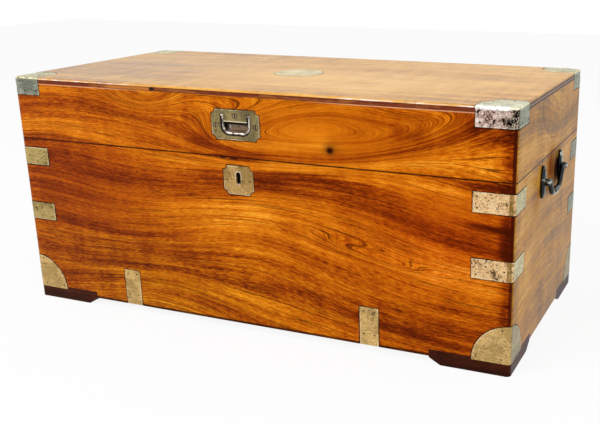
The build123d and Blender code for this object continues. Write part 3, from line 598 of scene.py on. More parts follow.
def specks(g):
    """Small dark specks, in about a quarter of the cells."""
    cells = g.node("TexVoronoi", {"Vector": g.place, "Scale": 30.0})
    speck = g.step(cells.outputs["Distance"], 0.02, 0.07, 0.85, 0.0)
    return g.times(speck, g.step(g.split(cells.outputs["Color"])["X"], 0.74, 0.78))


def add_stains(grain, colour, stains, knots):
    """Patches of painted shade in their colours, then knotty spots and black painted shade, and how dull
    they make the surface.
    """
    g = grain.g
    dull = 0.0
    for *place, strength, shade, dulled in stains:
        spread = g.step(g.noise(g.stretch((60.0, 60.0, 20.0))), 0.34, 0.6, 0.5, 1.0)
        stain = g.times(g.times(grain.hill(*place), spread), strength, clamp=True)
        colour = g.mix(stain, colour, shade)
        dull = g.larger(dull, g.times(stain, dulled))
    for *place, strength in knots:
        knot = g.times(grain.hill(*place), strength, clamp=True)
        colour = g.mix(knot, colour, DARK_LINE)
        dull = g.larger(dull, knot)
    return colour, dull


def add_dirt(g, colour, bands, rims):
    """Dark bands along the board's edges and dirt round its let-in plates; at the lower edge, corner and
    keyhole, painted shade.
    """
    wavering = g.noise(g.place, scale=120.0, rough=0.7)
    uneven = g.noise(g.place, scale=26.0, detail=2.0)
    for axis, low, high, soft, shade, strength in bands:
        mask = g.between(g.ragged(g.at[axis], wavering, soft), low, high, soft)
        fade = g.step(uneven, 0.36, 0.56, 0.88 * strength, strength)
        colour = g.mix(g.times(mask, fade), colour, shade)
    if rims is not None:
        reach = g.ragged(g.least(rims(g)), wavering, RIM_WAVER)
        dirt = g.step(reach, 0.001, 0.003, 1.0, 0.0)
        dirt = g.times(dirt, g.step(uneven, 0.38, 0.6, 0.35, 0.95))
        colour = g.mix(dirt, colour, DARK_LINE)
    return colour


def raw_share(g, axis, face, inward, depths):
    """One where a board is raw wood: on its inner side, and at the joint behind a skin of polish."""
    start, full = (face + inward * depth for depth in depths)
    bare = g.step(g.at[axis], start, full)
    mating = g.between(g.z, JOINT - MATING_HALF, JOINT + MATING_HALF, 0.0002)
    behind = g.step(g.at[axis], face + inward * SKIN, face + inward * (SKIN + SKIN_FADE))
    return g.larger(bare, g.times(mating, behind))


def wood(name, axes, stops, finish, seed, figure=(), patches=(), calm=(), lively=None, rings=None, knots=(),
         stains=(), bands=(), rims=None, extra=None, inner=None, gains=GAINS, lined=0.85):
    """Oiled and polished wood. axes names the directions along the grain, across it and into the board."""
    g = Graph(name)
    grain = Grain(g, axes, figure, seed)
    broad, middle, fine, flecks = (grain.streaks(*rates) for rates in (BROAD, MIDDLE, FINE, FLECKS))
    quiet = calm_share(grain, calm)
    tone = streak_tone(grain, (broad, middle, fine, flecks, grain.drift(*CURL)), gains, quiet)
    if rings is not None:
        tone = g.math("ADD", tone, ring_tone(grain, rings))
    for amount, *place in patches:
        tone = g.scaled(grain.hill(*place), amount, tone)
    dark = tuple(0.45 * value for value in stops[0][1])
    colour = g.mix(dark_lines(grain, broad, quiet, lined, lively), g.ramp(tone, stops), dark)
    colour = g.mix(specks(g), colour, dark)
    colour, dull = add_stains(grain, colour, stains, knots)
    colour = add_dirt(g, colour, bands, rims)
    if extra is not None:
        colour = extra(g, colour)
    roughness = g.scaled(dull, 0.6, g.scaled(middle, 0.16, finish["rough"] - 0.08))
    if inner is not None:
        bare = raw_share(g, *inner)
        colour = g.mix(bare, colour, g.mix(g.step(middle, 0.35, 0.65), RAW, LIGHT_RAW))
        roughness = g.scaled(bare, 0.35, roughness)
    g.shade(Base_Color=colour, Roughness=roughness)
    g.shade(Specular_IOR_Level=finish["specular"], Specular_Tint=(*finish["tint"], 1))
    g.bump(g.scaled(fine, 0.6, flecks), 0.3, 0.0005)
    return g.material


# How far a point is outside each of the plates that are let into a face, for wood()

def box_rims(g, names, axes):
    picks = ["XYZ".index(axis) for axis in axes]
    found = []
    for name in names:
        low, high = ([corner[i] for i in picks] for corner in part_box(name))
        cut = NOTCH if name in NOTCHED else 0.0
        found.append(g.outside_plate(g.at[axes[0]], g.at[axes[1]], low, high, cut))
    return found


def corner_of(name):
    """The upright corner of the trunk that a piece goes round."""
    return (END if "right" in name else -END, FRONT if "front" in name else BACK)


def front_rims(g):
    flat = [name for name in named("corner_strap_", "base_strap_", "lid_corner_cap_") if "front" in name]
    found = box_rims(g, flat + list(NOTCHED), "XZ")
    for side in (-1, 1):
        found.append(g.outside_round(g.x, g.z, (side * END, QUARTER_LEVEL), QUARTER_RADIUS))
    # Painted shade on the wood seen through the keyhole, reaching a little past it
    found.append(g.minus(g.outside_keyhole(g.x, g.z), KEY_SHADE_REACH))
    return found


def end_rims(side):
    plates = [name for name in named("corner_strap_", "lid_corner_cap_") if name.endswith(side)]

    def rims(g):
        found = box_rims(g, plates, "YZ")
        for face in (FRONT, BACK):
            found.append(g.outside_round(g.y, g.z, (face, QUARTER_LEVEL), QUARTER_RADIUS))
        return found
    return rims


def top_rims(g):
    found = [g.outside_round(g.x, g.y, PLAQUE_PLACE, PLAQUE_RADIUS)]
    for name in named("lid_corner_cap_"):
        low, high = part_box(name)
        flat = g.outside_plate(g.x, g.y, low[:2], high[:2])
        found.append(g.larger(flat, g.outside_round(g.x, g.y, corner_of(name), CAP_ROUND)))
    return found


# Boards

# The front's golden area and redder area: place, reaches, and what each multiplies the colour by
FRONT_AREAS = (
    ((-0.25, BASE + 0.06), (0.35, 0.1), (1.0, 1.28, 1.0)),
    ((0.4, BASE + 0.21), (0.14, 0.09), (1.0, 0.8, 1.0)),
)

# The front's dark stains by the joint
CHIPPED_FROM = -0.07
CHIPPED_TO = 0.03

# The top board's edge: its bead's upper end, the painted highlight above that, and along the bead
# a lighter stretch with a dark gap at its right end
BEAD_TOP = TOP - 0.0042
ROLL_LOW = TOP - 0.004
ROLL_HIGH = TOP - 0.0018
LIGHT_FROM = -0.29
LIGHT_TO = -0.19
GAP_TO = -0.179


def highlight_share(g):
    """How much painted highlight shows: one towards the ends of the front, nothing at its middle."""
    return g.step(g.size(g.math("ADD", g.x, 0.03)), 0.15, 0.27)


def front_details(g, colour):
    """Golden and redder areas, a painted highlight along the seam, and stained spots by the joint."""
    for place, reach, factor in FRONT_AREAS:
        colour = g.mix(g.hill(g.x, g.z, place, reach), colour, factor, "MULTIPLY")
    line = g.between(g.z, SEAM - 0.0015, SEAM + 0.002, 0.0005)
    colour = g.mix(g.times(line, g.times(highlight_share(g), 0.55)), colour, SEAM_HIGHLIGHT)
    chips = g.noise(g.stretch((60.0, 60.0, 130.0)), rough=0.6)
    near = g.between(g.z, JOINT - 0.0048, JOINT + 0.0016, 0.0016)
    stained = g.between(g.x, CHIPPED_FROM, CHIPPED_TO, 0.012)
    chips = g.times(g.step(chips, 0.46, 0.54), g.times(near, stained))
    return g.mix(g.times(chips, 0.92), colour, DARK_LINE)


def top_edge(g, colour):
    """The moulded edge: a dark bead with lighter patches, under a rounded edge with a painted highlight."""
    tones = g.noise(g.stretch((16.0, 16.0, 90.0)), detail=4.0, rough=0.65)
    bead = g.mix(g.step(tones, 0.46, 0.62), EDGE_RED, g.mix(0.45, EDGE_RED, EDGE_AMBER))
    bead = g.mix(g.times(g.between(g.x, LIGHT_FROM, LIGHT_TO, 0.008), 0.9), bead, EDGE_AMBER)
    bead = g.mix(g.between(g.x, LIGHT_TO, GAP_TO, 0.002), bead, DARK_LINE)
    on_end = g.step(g.size(g.x), END - 0.006, END - 0.003)
    bead = g.mix(g.times(on_end, 0.85), bead, GREY_BROWN)
    colour = g.mix(g.step(g.z, BEAD_TOP - 0.0004, BEAD_TOP + 0.0004, 1.0, 0.0), colour, bead)
    highlight = g.mix(g.step(tones, 0.4, 0.6), EDGE_GOLD, EDGE_HIGHLIGHT)
    highlight = g.mix(on_end, g.mix(highlight_share(g), EDGE_GOLD, highlight), GREY_BROWN)
    broken = g.noise(g.stretch((40.0, 40.0, 90.0)), rough=0.6)
    roll = g.between(g.z, ROLL_LOW, ROLL_HIGH, 0.0005)
    return g.mix(g.times(roll, g.step(broken, 0.4, 0.54, 0.4, 0.9)), colour, highlight)


def front_wood():
    return wood("camphor_front", "XZY", AMBER, RED_SHEEN, 3.0, figure=FRONT_FIGURE, patches=FRONT_PATCHES,
                calm=FRONT_CALM, lively=FRONT_LIVELY, knots=FRONT_KNOTS, rims=front_rims,
                bands=(JOINT_BAND, BOTTOM_SHADE_BAND, CORNER_SHADE_BAND), extra=front_details,
                inner=("Y", FRONT, 1, RAW_DEPTHS))


def back_wood():
    return wood("camphor_back", "XZY", AMBER, RED_SHEEN, 11.0, bands=(JOINT_BAND, BOTTOM_SHADE_BAND),
                inner=("Y", BACK, -1, RAW_DEPTHS))


def end_wood(side, seed, **marks):
    out = 1 if side == "right" else -1
    return wood("camphor_" + side + "_end", "YZX", END_SHEEN_HONEY, END_FINISH, seed, bands=END_BANDS,
                rims=end_rims(side), inner=("X", out * END, -out, RAW_DEPTHS), gains=END_GAINS,
                lined=PALE_LINES, **marks)


def top_wood():
    return wood("camphor_top", "XYZ", TOP_SHEEN_HONEY, TOP_FINISH, 41.0, figure=TOP_FIGURE, patches=TOP_SHEEN_PATCHES,
                calm=TOP_CALM, stains=TOP_LEFT_SHADE, rims=top_rims, extra=top_edge,
                inner=("Z", TOP, -1, TOP_RAW_DEPTHS), gains=TOP_GAINS, lined=PALE_LINES)


def dress(names, material):
    """Gives CAD nodes one material."""
    for name in names:
        piece = nodes[name]
        if not piece.material_slots:
            piece.data.materials.append(material)
        for material_slot in piece.material_slots:
            material_slot.link = "OBJECT"
            material_slot.material = material


def dress_boards():
    dress(["front_board", "lid_front_board"], front_wood())
    dress(["back_board", "lid_back_board"], back_wood())
    right = end_wood("right", 21.0, figure=RIGHT_FIGURE, patches=RIGHT_PATCHES, stains=RIGHT_SHADE_MARKS,
                     knots=RIGHT_BLACK_SHADE, rings=RIGHT_RINGS)
    left = end_wood("left", 31.0, figure=LEFT_FIGURE, stains=LEFT_SHADE_MARKS)
    dress(["right_end_board", "lid_right_end_board"], right)
    dress(["left_end_board", "lid_left_end_board"], left)
    dress(["lid_top_board"], top_wood())
    dress(["bottom_board"], wood("camphor_bottom", "XYZ", PLAIN_WOOD, PLAIN_FINISH, 51.0))
    dress(named("foot_"), wood("foot_wood", "XZY", FOOT_RED, FOOT_FINISH, 61.0))


# Metal

# Light and dark tones of each metal
STRAP_TONES = ((0.65, 0.475, 0.175), (0.38, 0.265, 0.085))
QUARTER_TONES = ((0.84, 0.55, 0.215), (0.57, 0.37, 0.13))
BASE_TONES = ((0.88, 0.57, 0.215), (0.57, 0.365, 0.125))
ESCUTCHEON_TONES = ((0.7, 0.43, 0.155), (0.46, 0.28, 0.09))
PLAQUE_TONES = ((0.92, 0.79, 0.47), (0.8, 0.66, 0.36))
PLATE_TONES = ((0.41, 0.31, 0.13), (0.235, 0.18, 0.08))
CUP_TONES = ((0.3, 0.2, 0.13), (0.14, 0.09, 0.065))
CAP_TONES = ((0.48, 0.5, 0.4), (0.25, 0.26, 0.2))
PIN_TONES = ((0.16, 0.1, 0.05), (0.06, 0.04, 0.02))
HINGE_TONES = ((0.6, 0.42, 0.19), (0.38, 0.25, 0.1))
SCREW_TONES = ((0.5, 0.4, 0.2), (0.3, 0.23, 0.11))
STEEL_TONES = ((0.45, 0.43, 0.4), (0.2, 0.18, 0.16))
BAIL_TONES = ((0.66, 0.6, 0.52), (0.13, 0.1, 0.08))
IRON_DARK = (0.022, 0.026, 0.028)
IRON_TONES = ((0.5, 0.52, 0.46), IRON_DARK)
WORN_AND_LIT_TONES = ((0.9, 0.88, 0.66), IRON_DARK)

# The mottled plates at the corner nearest the camera, from pits to bright metal
NEAREST = "front_right"
MOTTLED = (
    (0.39, (0.01, 0.005, 0.004)), (0.44, (0.06, 0.034, 0.026)), (0.47, (0.38, 0.25, 0.2)),
    (0.53, (0.64, 0.46, 0.39)), (0.6, (0.84, 0.67, 0.57)), (0.66, (1.0, 0.94, 0.86)),
)
PINK = (
    (0.34, (0.09, 0.045, 0.02)), (0.4, (0.42, 0.25, 0.11)), (0.45, (0.88, 0.55, 0.26)),
    (0.55, (1.0, 0.67, 0.34)), (0.66, (1.0, 0.79, 0.47)),
)

# Light tones of the faces on the trunk's ends and top, which paint in the reflection these faces catch
SIDE_GREEN = (0.71, 0.64, 0.34)
SIDE_GREY = (0.36, 0.37, 0.25)
QUARTER_SIDE = (0.5, 0.4, 0.2)
CAP_SIDE = (0.37, 0.4, 0.28)
CAP_TOP = (0.88, 0.82, 0.52)
NEAREST_CAP_TOP = (1.0, 0.96, 0.68)

DARKENED_METAL = (0.03, 0.016, 0.008)
WORN_BRIGHT = (0.95, 0.8, 0.6)
KEY_HIGHLIGHT = (1.0, 0.92, 0.78)
CORNER_BROWN = (0.23, 0.125, 0.022)
CORNER_BRIGHT = (1.0, 0.86, 0.58)
VEIN_BRIGHT = (1.0, 0.86, 0.66)
ROLL_HIGHLIGHT = (1.0, 0.98, 0.93)
CUP_HIGHLIGHT = (0.55, 0.5, 0.54)
CUP_SHADE_BLACK = (0.01, 0.006, 0.008)
LIP_HIGHLIGHT = (0.86, 0.76, 0.5)
SCRATCHED = (30.0, 30.0, 420.0)
EDGE_WAVER = 0.0016


def brass_base(g, blotches, tones, mottled, fall):
    """Two tones in blotches, or the tones of a ramp in flecks, darker towards the trunk's ends by fall."""
    if mottled is None:
        light, dark = tones
        return g.mix(g.step(blotches, 0.4, 0.6), dark, light)
    flecks = g.noise(g.place, scale=75.0, detail=6.0, rough=0.78)
    darker = g.step(g.size(g.x), END - 0.028, END - 0.008, 0.0, fall)
    return g.ramp(g.minus(flecks, darker), mottled)


def sheen_on_turned_faces(g, colour, blotches, side, top):
    """Tones of their own for the face on the trunk's end and the face on its top, painting in the
    reflection they catch.
    """
    if side is not None:
        facing = g.step(g.size(g.x), END - 0.0012, END - 0.0002)
        dark = tuple(0.72 * value for value in side)
        colour = g.mix(facing, colour, g.mix(g.step(blotches, 0.4, 0.6), dark, side))
    if top is not None:
        facing = g.step(g.z, TOP - 0.005, TOP - 0.003)
        dark = tuple(0.8 * value for value in top)
        colour = g.mix(facing, colour, g.mix(g.step(blotches, 0.42, 0.58), dark, top))
    return colour


def small_pits(g):
    """Dark pitting of two sizes, where it gathers in clumps."""
    clumps = g.noise(g.place, scale=40.0, detail=2.0)
    small = g.step(g.noise(g.place, scale=380.0, detail=2.0, rough=0.6), 0.58, 0.66)
    large = g.step(g.noise(g.place, scale=150.0, detail=2.0, rough=0.7), 0.615, 0.66)
    return g.times(g.larger(small, large), g.step(clumps, 0.42, 0.6))


def worn_edges(g, reach, colour, darkening, blotches):
    """Dirt at a plate's open edges and bright wear about a millimetre in from them."""
    reach = g.ragged(reach, g.noise(g.place, scale=260.0), EDGE_WAVER)
    worn = g.times(g.between(reach, 0.0006, 0.0013, 0.0003), g.step(blotches, 0.44, 0.54, 0.0, 0.7))
    return g.mix(worn, colour, WORN_BRIGHT), g.larger(darkening, g.step(reach, 0.0002, 0.0006, 0.95, 0.0))


def brass(name, tones=None, mottled=None, fall=0.0, side=None, top=None, pitting=0.8, grit=0.4, edges=None,
          crevice=0.0, extra=None):
    """Aged brass with dark grains, fine scratches one way, pitting, dirt and bright wear at the edges, and
    painted shade in its crevices.
    """
    g = Graph(name)
    blotches = g.noise(g.place, scale=24.0, detail=5.0, rough=0.7)
    colour = brass_base(g, blotches, tones, mottled, fall)
    colour = sheen_on_turned_faces(g, colour, blotches, side, top)
    grains = g.noise(g.place, scale=300.0, rough=0.8)
    colour = g.mix(g.step(grains, 0.36, 0.64, grit, 0.0), colour, BLACK)
    scratches = g.noise(g.stretch(SCRATCHED), rough=0.7)
    colour = g.mix(g.step(scratches, 0.38, 0.72, 0.0, 0.4), colour, g.mix(0.5, colour, BLACK))
    darkening = small_pits(g)
    if edges is not None:
        colour, darkening = worn_edges(g, g.least(edges(g, name)), colour, darkening, blotches)
    if extra is not None:
        colour, darkening = extra(g, colour, darkening)
    darkening = g.times(darkening, pitting)
    # Painted shade in crevices, found by ambient occlusion, joins the darkening
    if crevice:
        occlusion = g.node("AmbientOcclusion", {"Distance": crevice}, samples=8)
        darkening = g.larger(darkening, g.step(occlusion.outputs["AO"], 0.25, 0.7, 1.0, 0.0))
    roughness = g.scaled(darkening, 0.35, g.scaled(scratches, 0.25, 0.28))
    g.shade(Base_Color=g.mix(darkening, colour, DARKENED_METAL), Roughness=roughness, Metallic=g.scaled(darkening, -1.0, 1.0))
    g.shade(Specular_IOR_Level=0.2)
    g.bump(g.scaled(darkening, -1.0, g.scaled(scratches, 0.35)), 0.5, 0.0008)
    return g.material


def dark_metal(name, tones, rough=0.32, low=0.5, high=0.72, scale=55.0, worn_and_lit=None):
    """Worn dark patina over iron or bronze, worn through in patches, and lighter where worn_and_lit()
    paints wear and highlights.
    """
    g = Graph(name)
    light, dark = tones
    patches = g.noise(g.place, scale=scale, detail=5.0, rough=0.65)
    bared = g.step(patches, low, high)
    if worn_and_lit is not None:
        wear = g.times(worn_and_lit(g), g.step(patches, 0.36, 0.48, 0.5, 1.0))
        bared = g.larger(bared, wear)
    roughness = g.scaled(patches, 0.3, rough - 0.12)
    g.shade(Base_Color=g.mix(bared, dark, light), Roughness=roughness, Metallic=1.0)
    g.bump(g.scaled(g.noise(g.place, scale=420.0), 0.4, patches), 0.35, 0.0008)
    return g.material


# How far a point is inside each open edge of a plate, for brass()

def plate_edges(g, name, sides):
    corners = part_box(name)
    found = []
    for axis, end in sides:
        value = corners[end]["XYZ".index(axis)]
        found.append(g.scaled(g.at[axis], -1.0, value) if end else g.minus(g.at[axis], value))
    return found


def base_edges(g, name):
    return plate_edges(g, name, (("X", 0), ("X", 1), ("Z", 1)))


def wrap_edges(g, name):
    """The open edges of a plate that goes round an upright corner."""
    sides = [("X", 0 if name.endswith("right") else 1), ("Y", 1 if "front" in name else 0)]
    sides += [("Z", 0)] if "cap" in name else [("Z", 0), ("Z", 1)]
    return plate_edges(g, name, sides)


def quarter_edges(g, name):
    corner = corner_of(name)
    across = g.size(g.minus(g.x, corner[0]))
    back = g.size(g.minus(g.y, corner[1]))
    away = g.length(g.larger(across, back), g.minus(g.z, QUARTER_LEVEL))
    return [g.scaled(away, -1.0, QUARTER_RADIUS)]


def notched_edges(g, name):
    low, high = ([corner[0], corner[2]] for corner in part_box(name))
    return [g.times(g.outside_plate(g.x, g.z, low, high, NOTCH), -1.0)]


def plaque_edges(g, _):
    return [g.times(g.outside_round(g.x, g.y, PLAQUE_PLACE, PLAQUE_RADIUS), -1.0)]


# Marks that one plate has and the others don't

def keyhole_shade_and_highlight(g, colour, darkening):
    """Painted shade at the keyhole's edge, a painted highlight round it, and a painted glint at its foot.
    """
    away = g.outside_keyhole(g.x, g.z)
    ring = g.between(away, 0.0011, 0.0018, 0.0003)
    ring = g.times(ring, g.step(g.z, KEY_HEIGHT - 0.012, KEY_HEIGHT - 0.006, 0.1, 0.9))
    foot = (PLATES_X + 0.0008, KEY_HEIGHT - KEY_DROP - 0.004)
    glint = g.hill(g.x, g.z, foot, (0.0018, 0.0018))
    wall = g.step(away, 0.0007, 0.0011, 1.0, 0.0)
    return g.mix(g.larger(ring, glint), colour, KEY_HIGHLIGHT), g.larger(darkening, wall)


def corner_band_and_line(g, colour, darkening):
    """A brown band on the front beside the upright corner, and a pale line along the corner."""
    front = g.step(g.y, FRONT + 0.0006, FRONT + 0.002, 1.0, 0.0)
    patchy = g.noise(g.stretch((220.0, 220.0, 90.0)), rough=0.7)
    band = g.between(g.x, END - 0.0112, END - 0.0028, 0.0012)
    band = g.times(band, g.step(patchy, 0.36, 0.56, 0.45, 0.95))
    colour = g.mix(g.times(band, front), colour, CORNER_BROWN)
    line = g.times(g.between(g.x, END - 0.0018, END + 0.003, 0.0006), front)
    return g.mix(g.times(line, 0.8), colour, CORNER_BRIGHT), darkening


def cap_roll_highlight(g, colour, darkening):
    """A painted highlight along the rounded upper edge on the front, and pale veins where the corner is
    dark.
    """
    front = g.step(g.y, FRONT + 0.003, FRONT + 0.005, 1.0, 0.0)
    veins = g.off_middle(g.noise(g.place, scale=120.0, detail=2.0, distortion=1.2))
    veins = g.times(g.step(veins, 0.006, 0.022, 0.9, 0.0), g.step(g.x, END - 0.026, END - 0.017))
    colour = g.mix(g.times(veins, front), colour, VEIN_BRIGHT)
    roll = g.times(g.between(g.z, TOP - 0.0062, TOP + 0.002, 0.0008), front)
    roll = g.times(roll, g.step(g.x, END - 0.021, END - 0.013, 0.95, 0.0))
    roll = g.times(roll, g.step(g.noise(g.place, scale=140.0), 0.36, 0.46, 0.35, 1.0))
    return g.mix(roll, colour, ROLL_HIGHLIGHT), g.times(darkening, g.scaled(roll, -0.9, 1.0))


def cup_shade(g, colour, darkening):
    """Painted shadow under the upper edge of the well and on its left wall, and a painted glint beside
    that.
    """
    high = g.step(g.z, WELL_TOP - CUP_SHADOW - 0.0025, WELL_TOP - CUP_SHADOW)
    left = g.step(g.x, PLATES_X - CUP_WALL - 0.0035, PLATES_X - CUP_WALL, 1.0, 0.0)
    glint = g.between(g.x, PLATES_X - CUP_WALL, PLATES_X - CUP_GLINT, 0.001)
    colour = g.mix(g.times(glint, 0.6), colour, CUP_HIGHLIGHT)
    return g.mix(g.larger(high, left), colour, CUP_SHADE_BLACK), g.larger(darkening, high)


def flush_screws():
    low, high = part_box("lid_handle_plate")
    level = (low[2] + high[2]) / 2 - SCREW_DROP
    return (low[0] + SCREW_INSET, level), (high[0] - SCREW_INSET, level), (PLATES_X, WELL_TOP)


def screw_slots(g, colour, darkening):
    """Dark slots in the flush plate's screws."""
    for x, z in flush_screws():
        slot = g.between(g.minus(g.x, x), -SLOT_HALF, SLOT_HALF, 0.0004)
        away = g.outside_round(g.x, g.z, (x, z), SCREW_RADIUS)
        darkening = g.larger(darkening, g.times(slot, g.step(away, -0.0003, 0.0003, 1.0, 0.0)))
    return colour, darkening


def well_shade_and_lip_highlight(g, colour, darkening):
    """Painted shade along the well's rim, dark rings round the screws and the bail's ends, and a painted
    highlight on the well's lip.
    """
    across = g.size(g.minus(g.x, PLATES_X))
    down = g.minus(WELL_TOP, g.z)
    beyond = (g.larger(g.minus(across, WELL_FLAT), 0.0), g.larger(g.minus(down, WELL_DEEP), 0.0))
    rim = g.between(g.length(*beyond), WELL_ROUND - 0.0006, WELL_ROUND + 0.0009, 0.0005)
    darkening = g.larger(darkening, g.times(rim, g.step(down, -0.004, 0.004, 0.0, 0.95)))
    lip = g.between(down, WELL_DROP - 0.0016, WELL_DROP + 0.0004, 0.0004)
    lip = g.times(lip, g.step(across, LIP_HALF - 0.001, LIP_HALF + 0.001, 0.8, 0.0))
    for place in flush_screws():
        away = g.outside_round(g.x, g.z, place, SCREW_RADIUS)
        darkening = g.larger(darkening, g.between(away, -0.0006, 0.002, 0.0005))
    for side in (-1, 1):
        place = (PLATES_X + side * EYE_PLACE, WELL_TOP)
        away = g.outside_round(g.x, g.z, place, EYE_RADIUS)
        darkening = g.larger(darkening, g.times(g.between(away, 0.0, 0.0013, 0.0005), 0.8))
    return g.mix(lip, colour, LIP_HIGHLIGHT), darkening


def ridge_wear_and_highlight(g):
    """Patchy wear along a handle plate's ridge, most of it high up as painted reflection, and a painted
    highlight line on its boss.
    """
    out = g.size(g.x)
    ridge = g.between(out, END + 0.0068, END + 0.0088, 0.0006)
    patchy = g.noise(g.stretch((60.0, 160.0, 60.0)), rough=0.6)
    ridge = g.times(ridge, g.step(patchy, 0.44, 0.58, 0.1, 0.95))
    ridge = g.times(ridge, g.step(g.z, HANDLE_LEVEL - 0.008, HANDLE_LEVEL + 0.006, 0.35, 1.0))
    boss = g.step(out, END + 0.0105, END + 0.0125)
    high = g.between(g.z, HANDLE_LEVEL - 0.0006, HANDLE_LEVEL + 0.0026, 0.001)
    return g.larger(ridge, g.times(boss, high))


def grip_highlight(g):
    """A painted highlight along the lowest part of the hanging bail."""
    return g.step(g.z, HANDLE_LEVEL - 0.0345, HANDLE_LEVEL - 0.0315, 1.0, 0.0)


# Which metal each piece has

def near_and_far(start):
    """The nodes of one kind at the corner nearest the camera, and the others."""
    kind = named(start)
    near = [name for name in kind if name.endswith(NEAREST)]
    return near, [name for name in kind if name not in near]


def dress_each(names, *tones, **look):
    """Gives each node a brass of its own."""
    for name in names:
        dress([name], brass(name, *tones, **look))


def dress_brass():
    near, far = near_and_far("corner_strap_")
    dress_each(near, mottled=PINK, fall=0.04, side=SIDE_GREEN, pitting=1.0, grit=0.3, edges=wrap_edges,
               extra=corner_band_and_line)
    dress_each(far, STRAP_TONES, side=SIDE_GREY, pitting=1.0, edges=wrap_edges)
    near, far = near_and_far("lid_corner_cap_")
    dress_each(near, mottled=MOTTLED, fall=0.1, side=CAP_SIDE, top=NEAREST_CAP_TOP, pitting=1.0, grit=0.25,
               edges=wrap_edges, extra=cap_roll_highlight)
    dress_each(far, CAP_TONES, side=CAP_SIDE, top=CAP_TOP, pitting=0.9, edges=wrap_edges)
    dress_each(named("corner_quarter_"), QUARTER_TONES, side=QUARTER_SIDE, edges=quarter_edges)
    dress_each(named("base_strap_"), BASE_TONES, edges=base_edges)
    dress_each(["escutcheon"], ESCUTCHEON_TONES, pitting=0.7, edges=notched_edges, extra=keyhole_shade_and_highlight)
    dress_each(["lid_plaque"], PLAQUE_TONES, pitting=0.3, grit=0.2, edges=plaque_edges)
    dress_each(["lid_handle_plate"], PLATE_TONES, crevice=0.006, edges=notched_edges, extra=well_shade_and_lip_highlight)
    dress_each(["lid_handle_cup"], CUP_TONES, pitting=0.5, extra=cup_shade)
    dress(["case_brass_pins", "lid_brass_pins"], brass("pins", PIN_TONES, pitting=0.2))
    screws = brass("screws", SCREW_TONES, pitting=1.0, crevice=0.0022, extra=screw_slots)
    dress(["case_screws", "lid_screws"], screws)
    dress(named("hinge_"), brass("hinges", HINGE_TONES))


def dress_dark_metal():
    plates = dark_metal("handle_plates", IRON_TONES, rough=0.28, low=0.56, high=0.66, worn_and_lit=ridge_wear_and_highlight)
    bails = dark_metal("handle_bails", WORN_AND_LIT_TONES, rough=0.28, low=0.6, high=0.68, worn_and_lit=grip_highlight)
    dress(named("handle_plate_"), plates)
    dress(named("handle_bail_"), bails)
    dress(named("lock_"), dark_metal("lock_steel", STEEL_TONES))
    dress(["lid_handle_bail"], dark_metal("lid_bail", BAIL_TONES, low=0.42, high=0.58, scale=120.0))


# Surroundings

def studio_world():
    """White to the camera and in reflections, and a plain level of light on the object."""
    world = bpy.data.worlds.new("studio")
    bpy.context.scene.world = world
    world.use_nodes = True
    tree = world.node_tree
    path = tree.nodes.new("ShaderNodeLightPath")
    seen = path.outputs["Is Camera Ray"]
    for ray in ("Is Glossy Ray", "Is Transmission Ray"):
        larger = tree.nodes.new("ShaderNodeMath")
        larger.operation = "MAXIMUM"
        tree.links.new(seen, larger.inputs[0])
        tree.links.new(path.outputs[ray], larger.inputs[1])
        seen = larger.outputs[0]
    strength = tree.nodes.new("ShaderNodeMapRange")
    strength.inputs[3].default_value = SKY_LEVEL
    strength.inputs[4].default_value = 1.0
    tree.links.new(seen, strength.inputs[0])
    back = tree.nodes["Background"]
    back.inputs[0].default_value = (1, 1, 1, 1)
    tree.links.new(strength.outputs[0], back.inputs[1])


def floor_material():
    """Pale and dull, with a share of plain white for the camera and all white in reflections."""
    g = Graph("floor")
    g.shade(Base_Color=FLOOR_COLOUR, Roughness=1.0, Specular_IOR_Level=0.0)
    path = g.node("LightPath").outputs
    bounced = g.larger(path["Is Glossy Ray"], path["Is Transmission Ray"])
    share = g.larger(g.times(path["Is Camera Ray"], FLOOR_SHARE), bounced)
    glow = g.node("Emission", {0: (1, 1, 1, 1)}).outputs[0]
    blend = g.node("MixShader", {0: share, 1: g.shader.outputs[0], 2: glow})
    g.tree.links.new(blend.outputs[0], g.tree.nodes["Material Output"].inputs[0])
    return g.material


def pale_floor():
    mesh = bpy.data.meshes.new("floor")
    half = FLOOR_SIZE / 2
    corners = [(-half, -half, 0), (half, -half, 0), (half, half, 0), (-half, half, 0)]
    mesh.from_pydata(corners, [], [(0, 1, 2, 3)])
    mesh.materials.append(floor_material())
    linked("floor", mesh)


# Pieces that stand for plainer solids

def stand_for(piece, body, slot, *replaced):
    """Puts a finished piece into the scene in place of CAD nodes, with the first one's material."""
    piece.data.materials.clear()
    piece.data.materials.append(nodes[replaced[0]].material_slots[0].material)
    piece.data.polygons.foreach_set("use_smooth", [True] * len(piece.data.polygons))
    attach(piece, body)
    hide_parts(*replaced)


def softened(name, mesh):
    """A piece with a copy of a mesh whose edges are rounded, by way of a fine grid."""
    piece = linked(name, mesh.copy())
    remesh = piece.modifiers.new("remesh", "REMESH")
    remesh.mode = "VOXEL"
    remesh.voxel_size = CAP_VOXEL
    piece.modifiers.new("smooth", "SMOOTH").iterations = 3
    shown = piece.evaluated_get(bpy.context.evaluated_depsgraph_get())
    rounded = bpy.data.meshes.new_from_object(shown)
    piece.modifiers.clear()
    piece.data = rounded
    return piece


def dent(mesh, outward):
    """Beats small dents into the faces that look outward."""
    moves = []
    for vertex in mesh.vertices:
        depth = 0.0
        if vertex.normal.dot(outward) > OUTER_SHARE:
            depth = sum(reach * max(0.0, noise.noise(vertex.co * rate)) for rate, reach in CAP_DENTS)
        moves.append(vertex.co - vertex.normal * depth)
    for vertex, place in zip(mesh.vertices, moves):
        vertex.co = place


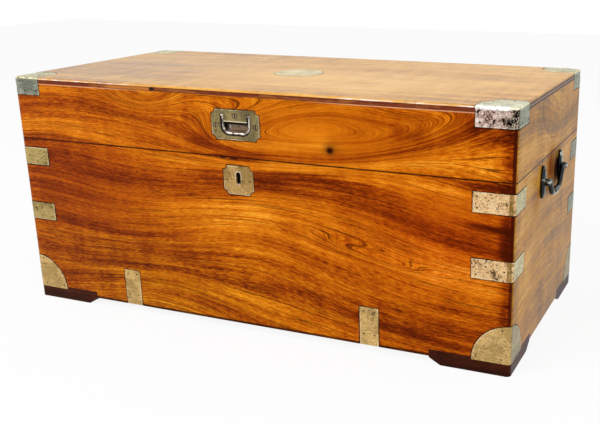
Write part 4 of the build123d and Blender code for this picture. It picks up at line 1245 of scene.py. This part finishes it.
def worn_cap(name):
    """A corner cap with its edges softened and small dents beaten into its outer faces."""
    piece = softened("worn_" + name, nodes[name].data)
    dent(piece.data, Vector((1 if "right" in name else -1, -1 if "front" in name else 1, 1)))
    stand_for(piece, "lid", "brass", name)


def closed_rings(rings, points, faces):
    """Skins between rings of points and closes both ends."""
    count = len(rings[0])
    start = len(points)
    for ring in rings:
        points.extend(ring)
    for i in range(len(rings) - 1):
        for j in range(count):
            k = (j + 1) % count
            a, b = start + i * count, start + (i + 1) * count
            faces.append((a + j, a + k, b + k, b + j))
    faces.append(tuple(reversed(range(start, start + count))))
    last = start + (len(rings) - 1) * count
    faces.append(tuple(range(last, last + count)))


def plate_outline(tall):
    """The plate's pointed oval, as places across and up from its middle."""
    outline = []
    for i in range(PLATE_STEPS):
        angle = 2 * math.pi * (i + 0.5) / PLATE_STEPS
        fuller = abs(math.sin(angle)) ** PLATE_FULLNESS
        outline.append((math.copysign(HANDLE_WIDE * fuller, math.sin(angle)), tall * math.cos(angle)))
    return outline


def moulded_plate(name):
    """A handle's backplate with a stepped rim, a raised ridge and a rounded boss."""
    low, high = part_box(name)
    side = 1 if "right" in name else -1
    middle, level = (low[1] + high[1]) / 2, (low[2] + high[2]) / 2
    outline = plate_outline((high[2] - low[2]) / 2)
    turns = [2 * math.pi * i / BOSS_STEPS for i in range(BOSS_STEPS)]

    def placed(out, along, up):
        return (side * out, middle + side * along, level + up)

    plate = []
    for share, height in PLATE_PROFILE:
        plate.append([placed(END + height, share * across, share * up) for across, up in outline])
    boss = []
    for along, radius in BOSS_PROFILE:
        ring = [(PIVOT_OUT + radius * math.cos(turn), radius * math.sin(turn)) for turn in turns]
        boss.append([placed(out, along, up) for out, up in ring])
    points, faces = [], []
    closed_rings(plate, points, faces)
    closed_rings(boss, points, faces)
    mesh = bpy.data.meshes.new("moulded_" + name)
    mesh.from_pydata(points, [], faces)
    stand_for(linked("moulded_" + name, mesh), "case", "handle_metal", name)


bpy.context.scene.view_settings.view_transform = "Standard"
set_camera()
studio_world()
pale_floor()
for lamp in LAMPS:
    area_light(*lamp)
dress_boards()
dress_brass()
dress_dark_metal()
for cap in named("lid_corner_cap_"):
    worn_cap(cap)
for plate in named("handle_plate_"):
    moulded_plate(plate)
